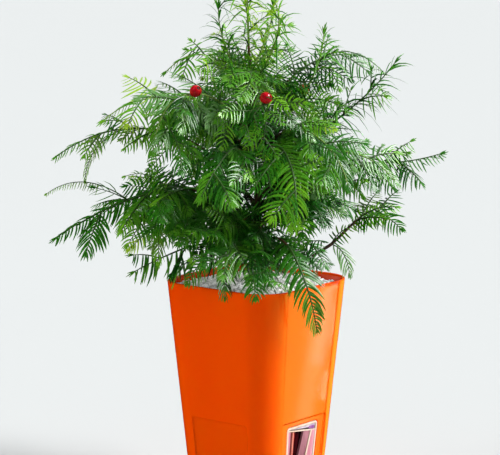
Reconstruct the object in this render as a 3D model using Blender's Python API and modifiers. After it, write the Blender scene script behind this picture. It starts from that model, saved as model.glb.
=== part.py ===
"""A young Chinese yew in a tapered, round-cornered self-watering pot.

Metres, +Z up. The origin is the middle of the pot's flat underside. The pot's
four faces look along X and Y, and its water window is in the face that looks
along -Y. The plant stands turned in the pot, so it hangs under its own empty,
in whose frame +X runs to the plant's right, +Y to its back and +Z up.
"""

import math
import random
from dataclasses import dataclass

import bmesh
import bpy
import numpy as np
from mathutils import Matrix, Vector

# Pot
POT_HEIGHT = 0.200
RIM_SIDE = 0.128
FOOT_SIDE = 0.093
FOOT_CORNER = 0.021
CORNER_STEPS = 6
WALL = 0.003
EDGE_ROUND = 0.0011
CLEARANCE = 0.0003

# Recessed panel low on each face, and the window in the front one
PANEL_TOP = 0.081
PANEL_FOOT = 0.022
PANEL_TOP_WIDTH = 0.063
PANEL_FOOT_WIDTH = 0.060
PANEL_CORNER = 0.003
PANEL_DEPTH = 0.0010
WINDOW_TOP = 0.0762
WINDOW_FOOT = 0.027
WINDOW_TOP_WIDTH = 0.0440
WINDOW_FOOT_WIDTH = 0.0390
WINDOW_CORNER = 0.0035
WINDOW_FLANGE = 0.0024
WINDOW_SET_BACK = 0.0016
WINDOW_THICKNESS = 0.0050

# What the pot holds
PLATE_HEIGHT = 0.0855
PLATE_THICKNESS = 0.0025
WICK_TOP_SIDE = 0.040
WICK_FOOT_SIDE = 0.030
GRAVEL_FOOT = 0.180
GRAVEL_EDGE = 0.1935
GRAVEL_DOME = 0.0030
GRAVEL_ROUGH = 0.0012
GRAVEL_RINGS = 6

# Plant
PLANT_TURN = math.radians(-51.5)
TRUNK_FOOT = 0.1982
TRUNK_TIP = 0.398
TRUNK_RADIUS = 0.0046
TRUNK_TIP_RADIUS = 0.0015
FLARE_RADIUS = 0.0078
FLARE_HEIGHT = 0.006
TRUNK_TAPER = 0.85
TRUNK_CROWDING = 1.4
TRUNK_LEAN = -0.0065
TRUNK_BOW = 0.004
TRUNK_STATIONS = 14
FLAT_CUT = 0.0008
BOUGH_RADIUS = 0.0021
BOUGH_TIP_RADIUS = 0.0014
BOUGH_STATIONS = 4
MASS_GAP = 0.00045
BARE_SHARE = 0.42
LIGHT = Vector((0.05, -0.62, 0.78))

# Shoots and needles
NEEDLE_PITCH = 0.0062
NEEDLE_LENGTH = 0.0225
NEEDLE_ANGLE = math.radians(64)
NEEDLE_TIP_ANGLE = math.radians(38)
NEEDLE_DROOP = 0.16
NEEDLE_SHORTEST = 0.66
NEEDLE_POINT = 0.0003
END_NEEDLE = 0.45
MARGIN = 0.0006
TWIG_MARGIN = 0.0013
TWIG_ROOM = 0.6
NEEDLE_ROOM = 0.45
NEEDLE_CLEAR_FROM = 0.14
MAIN_TWIG = 0.0027
SIDE_TWIG = 0.0020
TWIG_TAPER = 0.55
SIDE_ANGLE = math.radians(52)
SIDE_SAG = 0.16
SIDE_TRIES = 6
SIDE_SHRINK = 0.9
FIRST_SIDE = 0.10
LAST_SIDE = 0.72
SPRAY_ROLL = 0.25
CURVE_STEPS = 40

BERRY_RADIUS = 0.0052
BERRY_SEAT = 0.85

ORANGE = (0.90, 0.13, 0.005, 1)
CLEAR_PINK = (0.80, 0.45, 0.47, 1)
DARK_PLASTIC = (0.03, 0.012, 0.012, 1)
PEAT = (0.05, 0.03, 0.02, 1)
PALE_STONE = (0.62, 0.62, 0.60, 1)
BARK = (0.11, 0.055, 0.035, 1)
GREEN = (0.05, 0.22, 0.03, 1)


@dataclass(frozen=True)
class Limb:
    """One limb of the plant: it arches from the trunk to its elbow and on to its tip.

    Bearings are in degrees round the trunk, 0 to the plant's right and 90 to its
    back. Reaches are from the trunk's foot and heights from the pot's underside.
    The first stretch, a share of the way to the elbow, is a bare bough; with no
    bare share the foliage springs straight from the trunk.
    """

    name: str
    foot: float
    bearing: float
    elbow_reach: float
    elbow_height: float
    bow: float
    tip_reach: float
    tip_height: float
    swing: float = 0.0
    sides: int = 5
    side_length: float = 0.050
    radial: bool = False
    needle: float = 1.0
    bare: float = BARE_SHARE


LIMBS = (
    Limb("left_low", 0.222, 188, 0.081, 0.281, 0.020, 0.183, 0.236, 2, 6, 0.056),
    Limb("left_mid", 0.262, 180, 0.076, 0.329, 0.012, 0.181, 0.303, 0, 5, 0.048, needle=0.85),
    Limb("left_high", 0.300, 192, 0.064, 0.358, 0.010, 0.141, 0.337, 0, 6, 0.048),
    Limb("left_front", 0.318, 215, 0.060, 0.366, 0.010, 0.1137, 0.312, 4, 5, 0.044),
    Limb("left_bottom", 0.2135, 196, 0.069, 0.2285, 0.010, 0.118, 0.207, 0, 3, 0.036),
    Limb("left_inner", 0.2475, 208, 0.042, 0.268, 0.006, 0.112, 0.246, 0, 6, 0.046, bare=0),
    Limb("right_low", 0.212, 352, 0.083, 0.2485, -0.014, 0.131, 0.264, 4, 4, 0.038, bare=1),
    Limb("right_mid", 0.262, 5, 0.088, 0.302, 0.012, 0.170, 0.311, 0, 6, 0.044, needle=0.85),
    Limb("right_drop", 0.271, 350, 0.066, 0.314, 0.010, 0.127, 0.281, 2, 6, 0.046),
    Limb("right_high", 0.290, 3, 0.066, 0.337, 0.0, 0.1262, 0.397, 0, 5, 0.038, True, bare=0.6),
    Limb("right_arch", 0.335, 32, 0.060, 0.388, 0.008, 0.121, 0.386, -5, 5, 0.042),
    Limb("right_top", 0.320, 22, 0.038, 0.352, -0.004, 0.066, 0.4225, 3, 4, 0.034, True, bare=0.6),
    Limb("right_front", 0.302, 318, 0.062, 0.334, 0.014, 0.107, 0.283, 0, 5, 0.044),
    Limb("front_bright", 0.291, 291, 0.0765, 0.313, 0.020, 0.1067, 0.2527, -6, 4, 0.046),
    Limb("front_left", 0.279, 246, 0.060, 0.318, 0.016, 0.103, 0.276, -5, 4, 0.046),
    Limb("front_low", 0.2400, 250, 0.052, 0.246, 0.014, 0.0946, 0.212, 2, 4, 0.038),
    Limb("front_low_right", 0.2280, 276, 0.046, 0.242, 0.014, 0.0950, 0.207, 2, 3, 0.036),
    Limb("front_spill", 0.2215, 296, 0.080, 0.226, 0.018, 0.0800, 0.1605, 15, 1, 0.034),
    Limb("front_inner", 0.251, 310, 0.040, 0.282, 0.008, 0.088, 0.252, 8, 5, 0.040, bare=0),
    Limb("crown_top", TRUNK_TIP, 180, 0.0078, 0.438, 0.0, 0.0100, 0.482, 0, 5, 0.024, True, bare=0),
    Limb("crown_front", 0.370, 262, 0.030, 0.385, 0.004, 0.064, 0.357, -3, 4, 0.036, bare=0),
    Limb("crown_left", 0.362, 162, 0.027, 0.400, -0.005, 0.034, 0.446, 0, 5, 0.019, True, bare=0),
    Limb("crown_right", 0.374, 338, 0.0165, 0.405, -0.005, 0.0130, 0.459, -40, 4, 0.021, True, bare=0),
    Limb("crown_back", 0.384, 62, 0.020, 0.412, -0.003, 0.032, 0.447, 0, 4, 0.026, True, bare=0),
    Limb("left_crest", 0.352, 188, 0.034, 0.390, 0.002, 0.085, 0.376, -4, 6, 0.028, bare=0),
    Limb("back_left_low", 0.232, 140, 0.062, 0.264, 0.012, 0.138, 0.240, 0, 5, 0.050),
    Limb("back_right_low", 0.2405, 46, 0.062, 0.270, 0.012, 0.136, 0.252, 0, 6, 0.050),
    Limb("back_middle", 0.268, 92, 0.062, 0.318, 0.012, 0.140, 0.292, 0, 5, 0.050),
    Limb("back_left", 0.290, 132, 0.060, 0.346, 0.010, 0.126, 0.332, 0, 6, 0.046),
    Limb("back_right", 0.306, 66, 0.056, 0.356, 0.010, 0.118, 0.348, 0, 5, 0.046),
    Limb("back_high", 0.345, 106, 0.034, 0.382, 0.003, 0.086, 0.374, 0, 6, 0.042, bare=0),
)

# Each berry sits on the named limb's foliage, on the shoot nearest this place.
BERRIES = (
    ("left_front", (-0.0484, -0.047, 0.3745)),
    ("crown_front", (0.0100, -0.056, 0.3655)),
    ("back_right", (0.055, 0.085, 0.366)),
)


def clear_scene():
    """Take away every object that the file started with."""
    for old in list(bpy.data.objects):
        bpy.data.objects.remove(old, do_unlink=True)


def new_collection(name):
    """A collection linked to the scene."""
    made = bpy.data.collections.new(name)
    bpy.context.scene.collection.children.link(made)
    return made


def material(name, colour, roughness, metallic=0.0):
    """A plain Principled material."""
    made = bpy.data.materials.new(name)
    made.use_nodes = True
    shader = made.node_tree.nodes["Principled BSDF"]
    shader.inputs["Base Color"].default_value = colour
    shader.inputs["Roughness"].default_value = roughness
    shader.inputs["Metallic"].default_value = metallic
    made.diffuse_color = colour
    return made


def mesh_object(name, builder, collection, finish=None, outward=False):
    """Turn a bmesh into a named object and free it.

    Its faces are turned outwards first, unless they are so already.
    """
    if not outward:
        bmesh.ops.recalc_face_normals(builder, faces=builder.faces)
    mesh = bpy.data.meshes.new(name)
    builder.to_mesh(mesh)
    builder.free()
    made = bpy.data.objects.new(name, mesh)
    collection.objects.link(made)
    if finish:
        mesh.materials.append(finish)
    return made


def apply_modifiers(obj):
    """Replace the object's mesh by its evaluated one."""
    bpy.context.view_layer.update()
    graph = bpy.context.evaluated_depsgraph_get()
    mesh = bpy.data.meshes.new_from_object(obj.evaluated_get(graph))
    obj.modifiers.clear()
    old = obj.data
    obj.data = mesh
    bpy.data.meshes.remove(old)


def cut(target, cutter):
    """Cut one object away from another, as a live modifier."""
    boolean = target.modifiers.new("Cut " + cutter.name, "BOOLEAN")
    boolean.operation = "DIFFERENCE"
    boolean.object = cutter
    cutter.hide_render = True
    cutter.display_type = "WIRE"


def side_at(height):
    """The pot's outer side at a height."""
    return FOOT_SIDE + (RIM_SIDE - FOOT_SIDE) * height / POT_HEIGHT


def tapered_block(name, foot, top, inset, collection, finish=None):
    """A block that follows the pot's taper between two heights, its sides set in from the pot's."""
    builder = bmesh.new()
    bmesh.ops.create_cube(builder, size=1.0)
    uprights = [e for e in builder.edges if abs(e.verts[0].co.z - e.verts[1].co.z) > 0.5]
    side = side_at(foot) - 2 * inset
    bmesh.ops.scale(builder, vec=(side, side, top - foot), verts=builder.verts)
    corner = FOOT_CORNER * side_at(foot) / FOOT_SIDE - inset
    bmesh.ops.bevel(
        builder, geom=uprights, offset=corner, segments=CORNER_STEPS, profile=0.5, affect="EDGES"
    )
    grow = (side_at(top) - 2 * inset) / side
    upper = [v for v in builder.verts if v.co.z > 0]
    bmesh.ops.scale(builder, vec=(grow, grow, 1), verts=upper)
    bmesh.ops.translate(builder, vec=(0, 0, (foot + top) / 2), verts=builder.verts)
    return mesh_object(name, builder, collection, finish)


def face_block(name, foot, top, foot_width, top_width, corner, inner, outer, collection, finish=None):
    """A trapezoid block standing in the front wall, between two depths outwards from the wall's face."""
    slant = (RIM_SIDE - FOOT_SIDE) / 2 / POT_HEIGHT
    builder = bmesh.new()
    bmesh.ops.create_cube(builder, size=1.0)
    through = [e for e in builder.edges if abs(e.verts[0].co.y - e.verts[1].co.y) > 0.5]
    bmesh.ops.scale(builder, vec=(top_width, outer - inner, top - foot), verts=builder.verts)
    lower = [v for v in builder.verts if v.co.z < 0]
    bmesh.ops.scale(builder, vec=(foot_width / top_width, 1, 1), verts=lower)
    bmesh.ops.bevel(builder, geom=through, offset=corner, segments=3, profile=0.5, affect="EDGES")
    middle = (foot + top) / 2
    bmesh.ops.translate(builder, vec=(0, -(inner + outer) / 2, middle), verts=builder.verts)
    for vert in builder.verts:
        vert.co.y -= FOOT_SIDE / 2 + slant * vert.co.z
    return mesh_object(name, builder, collection, finish)


def build_pot(parts, cutters, finishes):
    """The orange shell with its four panels and window, the clear window, the wick plate, soil and gravel."""
    shell = tapered_block("pot_shell", 0.0, POT_HEIGHT, 0.0, parts, finishes["orange"])
    builder = bmesh.new()
    builder.from_mesh(shell.data)
    lid = [f for f in builder.faces if f.calc_center_median().z > POT_HEIGHT - 1e-4]
    bmesh.ops.delete(builder, geom=lid, context="FACES_ONLY")
    builder.to_mesh(shell.data)
    builder.free()
    thicken = shell.modifiers.new("Wall", "SOLIDIFY")
    thicken.thickness = WALL
    thicken.offset = -1
    thicken.use_even_offset = True
    soften = shell.modifiers.new("Soft edges", "BEVEL")
    soften.width = EDGE_ROUND
    soften.segments = 2
    soften.limit_method = "ANGLE"
    soften.angle_limit = math.radians(50)
    for turn in range(4):
        panel = face_block(
            f"cutter_panel_{turn}", PANEL_FOOT, PANEL_TOP, PANEL_FOOT_WIDTH, PANEL_TOP_WIDTH,
            PANEL_CORNER, -PANEL_DEPTH, 3 * PANEL_DEPTH, cutters,
        )
        panel.rotation_euler.z = turn * math.pi / 2
        cut(shell, panel)
    opening = face_block(
        "cutter_window", WINDOW_FOOT, WINDOW_TOP, WINDOW_FOOT_WIDTH, WINDOW_TOP_WIDTH,
        WINDOW_CORNER, -2 * WALL, WALL, cutters,
    )
    cut(shell, opening)
    build_window(parts, finishes["clear"])
    build_filling(parts, cutters, finishes)
    return shell


def build_window(parts, finish):
    """The clear window: a pane in the opening and a flange behind the wall, in one piece."""
    pane = face_block(
        "water_window", WINDOW_FOOT + CLEARANCE, WINDOW_TOP - CLEARANCE,
        WINDOW_FOOT_WIDTH - 2 * CLEARANCE, WINDOW_TOP_WIDTH - 2 * CLEARANCE,
        WINDOW_CORNER, -WINDOW_SET_BACK - WINDOW_THICKNESS, -WINDOW_SET_BACK, parts, finish,
    )
    flange = face_block(
        "window_flange", WINDOW_FOOT - WINDOW_FLANGE, WINDOW_TOP + WINDOW_FLANGE,
        WINDOW_FOOT_WIDTH + 2 * WINDOW_FLANGE, WINDOW_TOP_WIDTH + 2 * WINDOW_FLANGE,
        WINDOW_CORNER + WINDOW_FLANGE, -WALL - WINDOW_FLANGE - CLEARANCE, -WALL - CLEARANCE, parts,
    )
    fuse(pane, [flange])
    return pane


def build_filling(parts, cutters, finishes):
    """The plate with its wick foot over the water, the soil on it and the gravel on top."""
    inset = WALL + CLEARANCE
    plate = tapered_block(
        "wick_plate", PLATE_HEIGHT, PLATE_HEIGHT + PLATE_THICKNESS, inset, parts, finishes["dark"]
    )
    builder = bmesh.new()
    bmesh.ops.create_cube(builder, size=1.0)
    foot = WALL + CLEARANCE
    tall = PLATE_HEIGHT + PLATE_THICKNESS / 2 - foot
    bmesh.ops.scale(builder, vec=(WICK_TOP_SIDE, WICK_TOP_SIDE, tall), verts=builder.verts)
    narrow = WICK_FOOT_SIDE / WICK_TOP_SIDE
    lower = [v for v in builder.verts if v.co.z < 0]
    bmesh.ops.scale(builder, vec=(narrow, narrow, 1), verts=lower)
    bmesh.ops.translate(builder, vec=(0, 0, foot + tall / 2), verts=builder.verts)
    fuse(plate, [mesh_object("wick_foot", builder, parts)])
    tapered_block(
        "soil", PLATE_HEIGHT + PLATE_THICKNESS + CLEARANCE, GRAVEL_FOOT, inset, parts, finishes["peat"]
    )
    gravel = tapered_block(
        "gravel", GRAVEL_FOOT + CLEARANCE, GRAVEL_EDGE, inset, parts, finishes["stone"]
    )
    heap_gravel(gravel)
    return plate


def heap_gravel(gravel):
    """Give the gravel's top rings of uneven stones, a little domed, with a flat seat for the trunk."""
    draw = random.Random(5)
    builder = bmesh.new()
    builder.from_mesh(gravel.data)
    top = max(builder.faces, key=lambda f: f.calc_center_median().z)
    shrink = 1.0
    for ring in range(1, GRAVEL_RINGS):
        bmesh.ops.inset_individual(builder, faces=[top], thickness=0.0, use_even_offset=False)
        wanted = 1 - ring / GRAVEL_RINGS
        bmesh.ops.scale(builder, vec=(wanted / shrink, wanted / shrink, 1), verts=top.verts)
        shrink = wanted
        for index, vert in enumerate(top.verts):
            rise = GRAVEL_DOME * math.sin(ring / GRAVEL_RINGS * math.pi / 2)
            bump = GRAVEL_ROUGH * draw.uniform(-1, 1)
            seat = ring == GRAVEL_RINGS - 1
            vert.co.z = GRAVEL_EDGE + (TRUNK_FOOT - CLEARANCE - GRAVEL_EDGE if seat else rise + bump)
    bmesh.ops.triangulate(builder, faces=[f for f in builder.faces if f.calc_center_median().z > GRAVEL_EDGE])
    bmesh.ops.recalc_face_normals(builder, faces=builder.faces)
    builder.to_mesh(gravel.data)
    builder.free()


def fuse(body, others):
    """Join the others into the body with one Boolean union, and remove them."""
    if not others:
        return body
    together = new_collection("joining " + body.name)
    for other in others:
        for home in list(other.users_collection):
            home.objects.unlink(other)
        together.objects.link(other)
    union = body.modifiers.new("Join", "BOOLEAN")
    union.operation = "UNION"
    union.operand_type = "COLLECTION"
    union.collection = together
    union.solver = "MANIFOLD"
    apply_modifiers(body)
    for other in others:
        bpy.data.objects.remove(other, do_unlink=True)
    bpy.data.collections.remove(together)
    return body


def bend(start, control, end, share):
    """A point on a quadratic curve."""
    rest = 1 - share
    return start * rest * rest + control * 2 * rest * share + end * share * share


def trunk_point(height):
    """The trunk's centre at a height: it leans to the left and bows a little."""
    share = (height - TRUNK_FOOT) / (TRUNK_TIP - TRUNK_FOOT)
    sway = TRUNK_BOW * math.sin(math.pi * share)
    return Vector((TRUNK_LEAN * share + sway, -sway / 2, height))


def trunk_radius(height):
    """The trunk's radius at a height: a long taper on a short root flare."""
    share = (height - TRUNK_FOOT) / (TRUNK_TIP - TRUNK_FOOT)
    straight = TRUNK_RADIUS + (TRUNK_TIP_RADIUS - TRUNK_RADIUS) * share**TRUNK_TAPER
    flare = (FLARE_RADIUS - TRUNK_RADIUS) * math.exp(-(height - TRUNK_FOOT) / FLARE_HEIGHT)
    return straight + flare


def polar(bearing, reach, height):
    """A place by its bearing in degrees, reach and height."""
    angle = math.radians(bearing)
    return Vector((reach * math.cos(angle), reach * math.sin(angle), height))


def tube(name, points, radii, sides_step, collection, finish=None):
    """A tapering round tube with filled ends, as a mesh."""
    curve = bpy.data.curves.new(name, "CURVE")
    curve.dimensions = "3D"
    curve.bevel_depth = 1.0
    curve.bevel_resolution = sides_step
    curve.use_fill_caps = True
    spline = curve.splines.new("POLY")
    spline.points.add(len(points) - 1)
    for knot, place, radius in zip(spline.points, points, radii):
        knot.co = (*place, 1)
        knot.radius = radius
    rope = bpy.data.objects.new(name + "_curve", curve)
    collection.objects.link(rope)
    bpy.context.view_layer.update()
    graph = bpy.context.evaluated_depsgraph_get()
    mesh = bpy.data.meshes.new_from_object(rope.evaluated_get(graph))
    bpy.data.objects.remove(rope, do_unlink=True)
    builder = bmesh.new()
    builder.from_mesh(mesh)
    bpy.data.meshes.remove(mesh)
    bmesh.ops.remove_doubles(builder, verts=builder.verts, dist=1e-6)
    return mesh_object(name, builder, collection, finish)


class Clearance:
    """Every tapering stretch of wood and needle that is already placed, to keep new ones clear of."""

    def __init__(self):
        self.stretches = []
        self.packed = None

    def add(self, start, end, first, last, owner):
        """Note a stretch that tapers from one radius to another."""
        self.stretches.append((*start, *end, first, last, owner))
        self.packed = None

    def gap(self, start, end, first, last, leave_out=None):
        """The least gap from a new stretch to those placed, leaving out one owner."""
        if self.packed is None:
            self.packed = np.array(self.stretches)
        near = self.packed[self.packed[:, 8] != leave_out]
        share, other, distance = closest(np.array(start), np.array(end), near[:, 0:3], near[:, 3:6])
        mine = first + (last - first) * share
        theirs = near[:, 6] + (near[:, 7] - near[:, 6]) * other
        return float((distance - mine - theirs).min())


def closest(a, b, p, q):
    """Where the segment ab comes nearest to each segment pq, as shares of their lengths, and how near."""
    along, others, apart = b - a, q - p, a - p
    mine = float(along @ along)
    theirs = np.einsum("ij,ij->i", others, others)
    cross = others @ along
    back = apart @ along
    out = np.einsum("ij,ij->i", others, apart)
    area = np.maximum(mine * theirs - cross * cross, 1e-20)
    share = np.clip((cross * out - back * theirs) / area, 0, 1)
    other = np.clip((cross * share + out) / theirs, 0, 1)
    share = np.clip((cross * other - back) / mine, 0, 1)
    distance = np.linalg.norm((a + share[:, None] * along) - (p + other[:, None] * others), axis=1)
    return share, other, distance


def in_pot(point, margin):
    """Whether a place in the plant's frame lies inside the pot's outline, grown by a margin."""
    x = point.x * math.cos(PLANT_TURN) - point.y * math.sin(PLANT_TURN)
    y = point.x * math.sin(PLANT_TURN) + point.y * math.cos(PLANT_TURN)
    if point.z > POT_HEIGHT + margin:
        return False
    half = side_at(point.z) / 2
    corner = FOOT_CORNER * 2 * half / FOOT_SIDE
    dx = max(abs(x) - (half - corner), 0)
    dy = max(abs(y) - (half - corner), 0)
    return math.hypot(dx, dy) < corner + margin


def meets_pot(start, end, margin):
    """Whether a stretch comes within a margin of the pot."""
    return any(in_pot(start.lerp(end, step / 4), margin) for step in range(5))


class Shoot:
    """One leafy shoot: a three-sided twig with needles that stand out of its faces."""

    def __init__(self, path, up, width, owner, ranks, needle):
        self.path, self.up, self.width, self.owner = path, up, width, owner
        self.ranks, self.needle = ranks, needle
        self.needles = {}
        self.frames = self.make_frames()

    def make_frames(self):
        """The heading, side and upward directions at each station of the path."""
        frames = []
        last = len(self.path) - 1
        for index, point in enumerate(self.path):
            ahead = self.path[min(index + 1, last)] - self.path[max(index - 1, 0)]
            heading = ahead.normalized()
            normal = (self.up - heading * self.up.dot(heading)).normalized()
            frames.append((point, heading, normal.cross(heading), normal))
        return frames

    def thickness(self, index):
        """The twig's width at a station."""
        return self.width * (1 - (1 - TWIG_TAPER) * index / (len(self.path) - 1))

    def ring(self, index):
        """The three corners of the twig at a station."""
        point, _, side, normal = self.frames[index]
        size = self.thickness(index)
        return (
            point + normal * size * 0.5,
            point + side * size * 0.5 - normal * size * 0.3,
            point - side * size * 0.5 - normal * size * 0.3,
        )

    def needle_tip(self, index, rank, draw):
        """The foot and tip of the needle that stands between two stations in one rank."""
        point, heading, side, normal = self.frames[index]
        foot = point.lerp(self.frames[index + 1][0], 0.5)
        along = (index + 0.5) / (len(self.path) - 1)
        lean = NEEDLE_ANGLE + (NEEDLE_TIP_ANGLE - NEEDLE_ANGLE) * along**2
        fullness = math.sin(math.pi * min(along * 1.25, 1))
        reach = NEEDLE_LENGTH * self.needle * (NEEDLE_SHORTEST + (1 - NEEDLE_SHORTEST) * fullness)
        reach *= draw.uniform(0.92, 1.06)
        if self.ranks == 3:
            turn = math.radians((270, 30, 150)[rank])
            outward = side * math.cos(turn) + normal * math.sin(turn)
        else:
            outward = side if rank == 1 else -side
            outward = (outward - normal * NEEDLE_DROOP * draw.uniform(0.4, 1.4)).normalized()
        return foot, foot + (outward * math.sin(lean) + heading * math.cos(lean)) * reach

    def end_needle(self):
        """The tip of the needle that ends the shoot."""
        point, heading, _, _ = self.frames[-1]
        return point + heading * NEEDLE_LENGTH * self.needle * END_NEEDLE

    def place_wood(self, placed):
        """Note the twig's own stretches and its end needle."""
        for index in range(len(self.path) - 1):
            radius = self.thickness(index) * TWIG_ROOM
            placed.add(self.path[index], self.path[index + 1], radius, radius, self.owner)
        radius = self.thickness(len(self.path) - 1) * TWIG_ROOM
        placed.add(self.path[-1], self.end_needle(), radius, NEEDLE_POINT, self.owner)

    def grow_needle(self, index, rank, draw, placed):
        """Grow one needle if its place is free of the pot and of every other shoot."""
        foot, tip = self.needle_tip(index, rank, draw)
        start = foot.lerp(tip, NEEDLE_CLEAR_FROM)
        room = NEEDLE_PITCH * NEEDLE_ROOM
        if meets_pot(start, tip, MARGIN):
            return
        if placed.gap(start, tip, room, NEEDLE_POINT, self.owner) < MARGIN:
            return
        placed.add(start, tip, room, NEEDLE_POINT, self.owner)
        self.needles[index, rank] = tip

    def solid(self, name, collection):
        """The shoot as one closed mesh."""
        builder = bmesh.new()
        rings = [[builder.verts.new(c) for c in self.ring(i)] for i in range(len(self.path))]
        # Face 0 looks to the first side, face 1 down and face 2 to the other side.
        rank_of_face = {0: 1, 2: 2, 1: 0} if self.ranks == 3 else {0: 1, 2: 2}
        for index in range(len(rings) - 1):
            for face in range(3):
                corners = (
                    rings[index][face],
                    rings[index + 1][face],
                    rings[index + 1][(face + 1) % 3],
                    rings[index][(face + 1) % 3],
                )
                tip = self.needles.get((index, rank_of_face.get(face, -1)))
                if tip is None:
                    builder.faces.new(corners[:3])
                    builder.faces.new((corners[0], corners[2], corners[3]))
                    continue
                apex = builder.verts.new(tip)
                for step in range(4):
                    builder.faces.new((corners[step], corners[(step + 1) % 4], apex))
        builder.faces.new(rings[0])
        end = builder.verts.new(self.end_needle())
        for step in range(3):
            builder.faces.new((rings[-1][(step + 1) % 3], rings[-1][step], end))
        return mesh_object(name, builder, collection, outward=True)


def walk(fine, first, last, pitch):
    """Points about a pitch apart along a fine polyline, between two lengths from its start."""
    lengths = [0.0]
    for before, after in zip(fine, fine[1:]):
        lengths.append(lengths[-1] + (after - before).length)
    last = min(last, lengths[-1])
    count = max(2, round((last - first) / pitch))
    points = []
    for step in range(count + 1):
        wanted = first + (last - first) * step / count
        index = 0
        while index < len(fine) - 2 and lengths[index + 1] < wanted:
            index += 1
        share = (wanted - lengths[index]) / (lengths[index + 1] - lengths[index])
        points.append(fine[index].lerp(fine[index + 1], share))
    return points


def arc(start, control, end):
    """A quadratic curve as a fine polyline."""
    return [bend(start, control, end, step / CURVE_STEPS) for step in range(CURVE_STEPS + 1)]


def span(points):
    """The length of a polyline."""
    return sum((after - before).length for before, after in zip(points, points[1:]))


class GrownLimb:
    """A limb worked out: its bough's curve, its main shoot and its side shoots."""

    def __init__(self, limb, number):
        self.limb, self.number = limb, number
        self.draw = random.Random(1000 + number)
        self.bough, self.shoots, self.berry = None, [], None
        self.tip = polar(limb.bearing + limb.swing, limb.tip_reach, limb.tip_height)
        path = self.plan_path()
        ranks = 3 if limb.radial else 2
        self.main = Shoot(path, self.facing(path), MAIN_TWIG, self.owner(0), ranks, limb.needle)
        self.shoots.append(self.main)

    def plan_path(self):
        """Arch over the elbow to the tip; keep the bare stretch as the bough and give back the rest."""
        limb = self.limb
        foot = trunk_point(limb.foot)
        elbow = polar(limb.bearing, limb.elbow_reach, limb.elbow_height)
        control = foot.lerp(elbow, 0.5) + Vector((0, 0, 2 * limb.bow))
        inner = arc(foot, control, elbow)
        heading = (elbow - control).normalized()
        beyond = elbow + heading * (self.tip - elbow).length * 0.5
        end_needle = NEEDLE_LENGTH * limb.needle * END_NEEDLE
        whole = inner + arc(elbow, beyond, self.tip - (self.tip - beyond).normalized() * end_needle)[1:]
        bare = span(inner) * limb.bare
        if limb.bare:
            self.bough = walk(whole, 0.0, bare, bare / BOUGH_STATIONS)
        return walk(whole, bare + MASS_GAP, span(whole), NEEDLE_PITCH)

    def facing(self, path):
        """The upward direction of the spray: it turns its top to the light."""
        heading = (path[-1] - path[0]).normalized()
        up = (LIGHT - heading * LIGHT.dot(heading)).normalized()
        return Matrix.Rotation(self.draw.uniform(-SPRAY_ROLL, SPRAY_ROLL), 3, heading) @ up

    def owner(self, shoot):
        """A number for one shoot of this limb."""
        return (self.number + 1) * 100 + shoot

    def grow_side_shoots(self, placed):
        """Side shoots alternate along the main one, shorter towards its tip, where there is room."""
        limb = self.limb
        last = len(self.main.path) - 1
        for number in range(limb.sides):
            along = FIRST_SIDE + (LAST_SIDE - FIRST_SIDE) * number / max(limb.sides - 1, 1)
            index = max(1, round(along * last))
            root, heading, side, normal = self.main.frames[index]
            hand = 1 if (number + self.number) % 2 else -1
            length = limb.side_length * (1.08 - 0.62 * along) * self.draw.uniform(0.88, 1.12)
            for tries in range(SIDE_TRIES):
                angle = SIDE_ANGLE * self.draw.uniform(0.82, 1.12)
                tilt = self.draw.uniform(-0.32, 0.42) + (self.draw.uniform(-1.5, 1.5) if limb.radial else 0)
                outward = side * hand * math.cos(tilt) + normal * math.sin(tilt)
                ahead = heading * math.cos(angle) + outward * math.sin(angle)
                if self.try_side_shoot(root, ahead, normal, length * SIDE_SHRINK**tries, placed):
                    break

    def try_side_shoot(self, root, ahead, normal, length, placed):
        """Add one side shoot if its twig is clear of everything but the main shoot."""
        sag = Vector((0, 0, -SIDE_SAG * length))
        fine = arc(root, root + ahead * length * 0.5 - sag * 0.2, root + ahead * length + sag)
        path = walk(fine, 0.0, length * 2, NEEDLE_PITCH)
        radius = SIDE_TWIG * TWIG_ROOM
        ends = list(zip(path, path[1:]))
        ends.append((path[-1], path[-1] + (path[-1] - path[-2]).normalized() * NEEDLE_LENGTH * END_NEEDLE))
        for number, (a, b) in enumerate(ends):
            parent = self.main.owner if number < 2 else None
            if meets_pot(a, b, radius + MARGIN):
                return False
            if placed.gap(a, b, radius, radius, parent) < TWIG_MARGIN:
                return False
        shoot = Shoot(path, normal, SIDE_TWIG, self.owner(len(self.shoots)), 2, self.limb.needle)
        shoot.place_wood(placed)
        self.shoots.append(shoot)
        return True


def place_berries(limbs, placed, collection):
    """Sit each berry on the nearest shoot of its limb and keep its place free of needles."""
    by_name = {grown.limb.name: grown for grown in limbs}
    for name, place in BERRIES:
        grown = by_name[name]
        target = Vector(place)
        spots = [(s.path[i], s) for s in grown.shoots for i in range(1, len(s.path) - 1)]
        spot, shoot = min(spots, key=lambda found: (found[0] - target).length)
        centre = spot + (target - spot).normalized() * BERRY_RADIUS * BERRY_SEAT
        placed.add(centre, centre + Vector((0, 0, MARGIN)), BERRY_RADIUS, BERRY_RADIUS, shoot.owner)
        builder = bmesh.new()
        bmesh.ops.create_icosphere(builder, subdivisions=1, radius=BERRY_RADIUS)
        bmesh.ops.translate(builder, vec=centre, verts=builder.verts)
        grown.berry = mesh_object("berry_" + name, builder, collection)


def grow_needles(limbs, placed):
    """Grow needles on every shoot in turn, so that no mass takes all the room."""
    jobs = []
    for grown in limbs:
        for order, shoot in enumerate(grown.shoots):
            first = 0 if order == 0 else 2
            for index in range(first, len(shoot.path) - 1):
                for rank in ((0, 1, 2) if shoot.ranks == 3 else (1, 2)):
                    from_tip = len(shoot.path) - 1 - index
                    jobs.append((from_tip, order, grown.number, index, rank, grown, shoot))
    jobs.sort(key=lambda job: job[:5])
    for *_, index, rank, grown, shoot in jobs:
        shoot.grow_needle(index, rank, grown.draw, placed)


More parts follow.
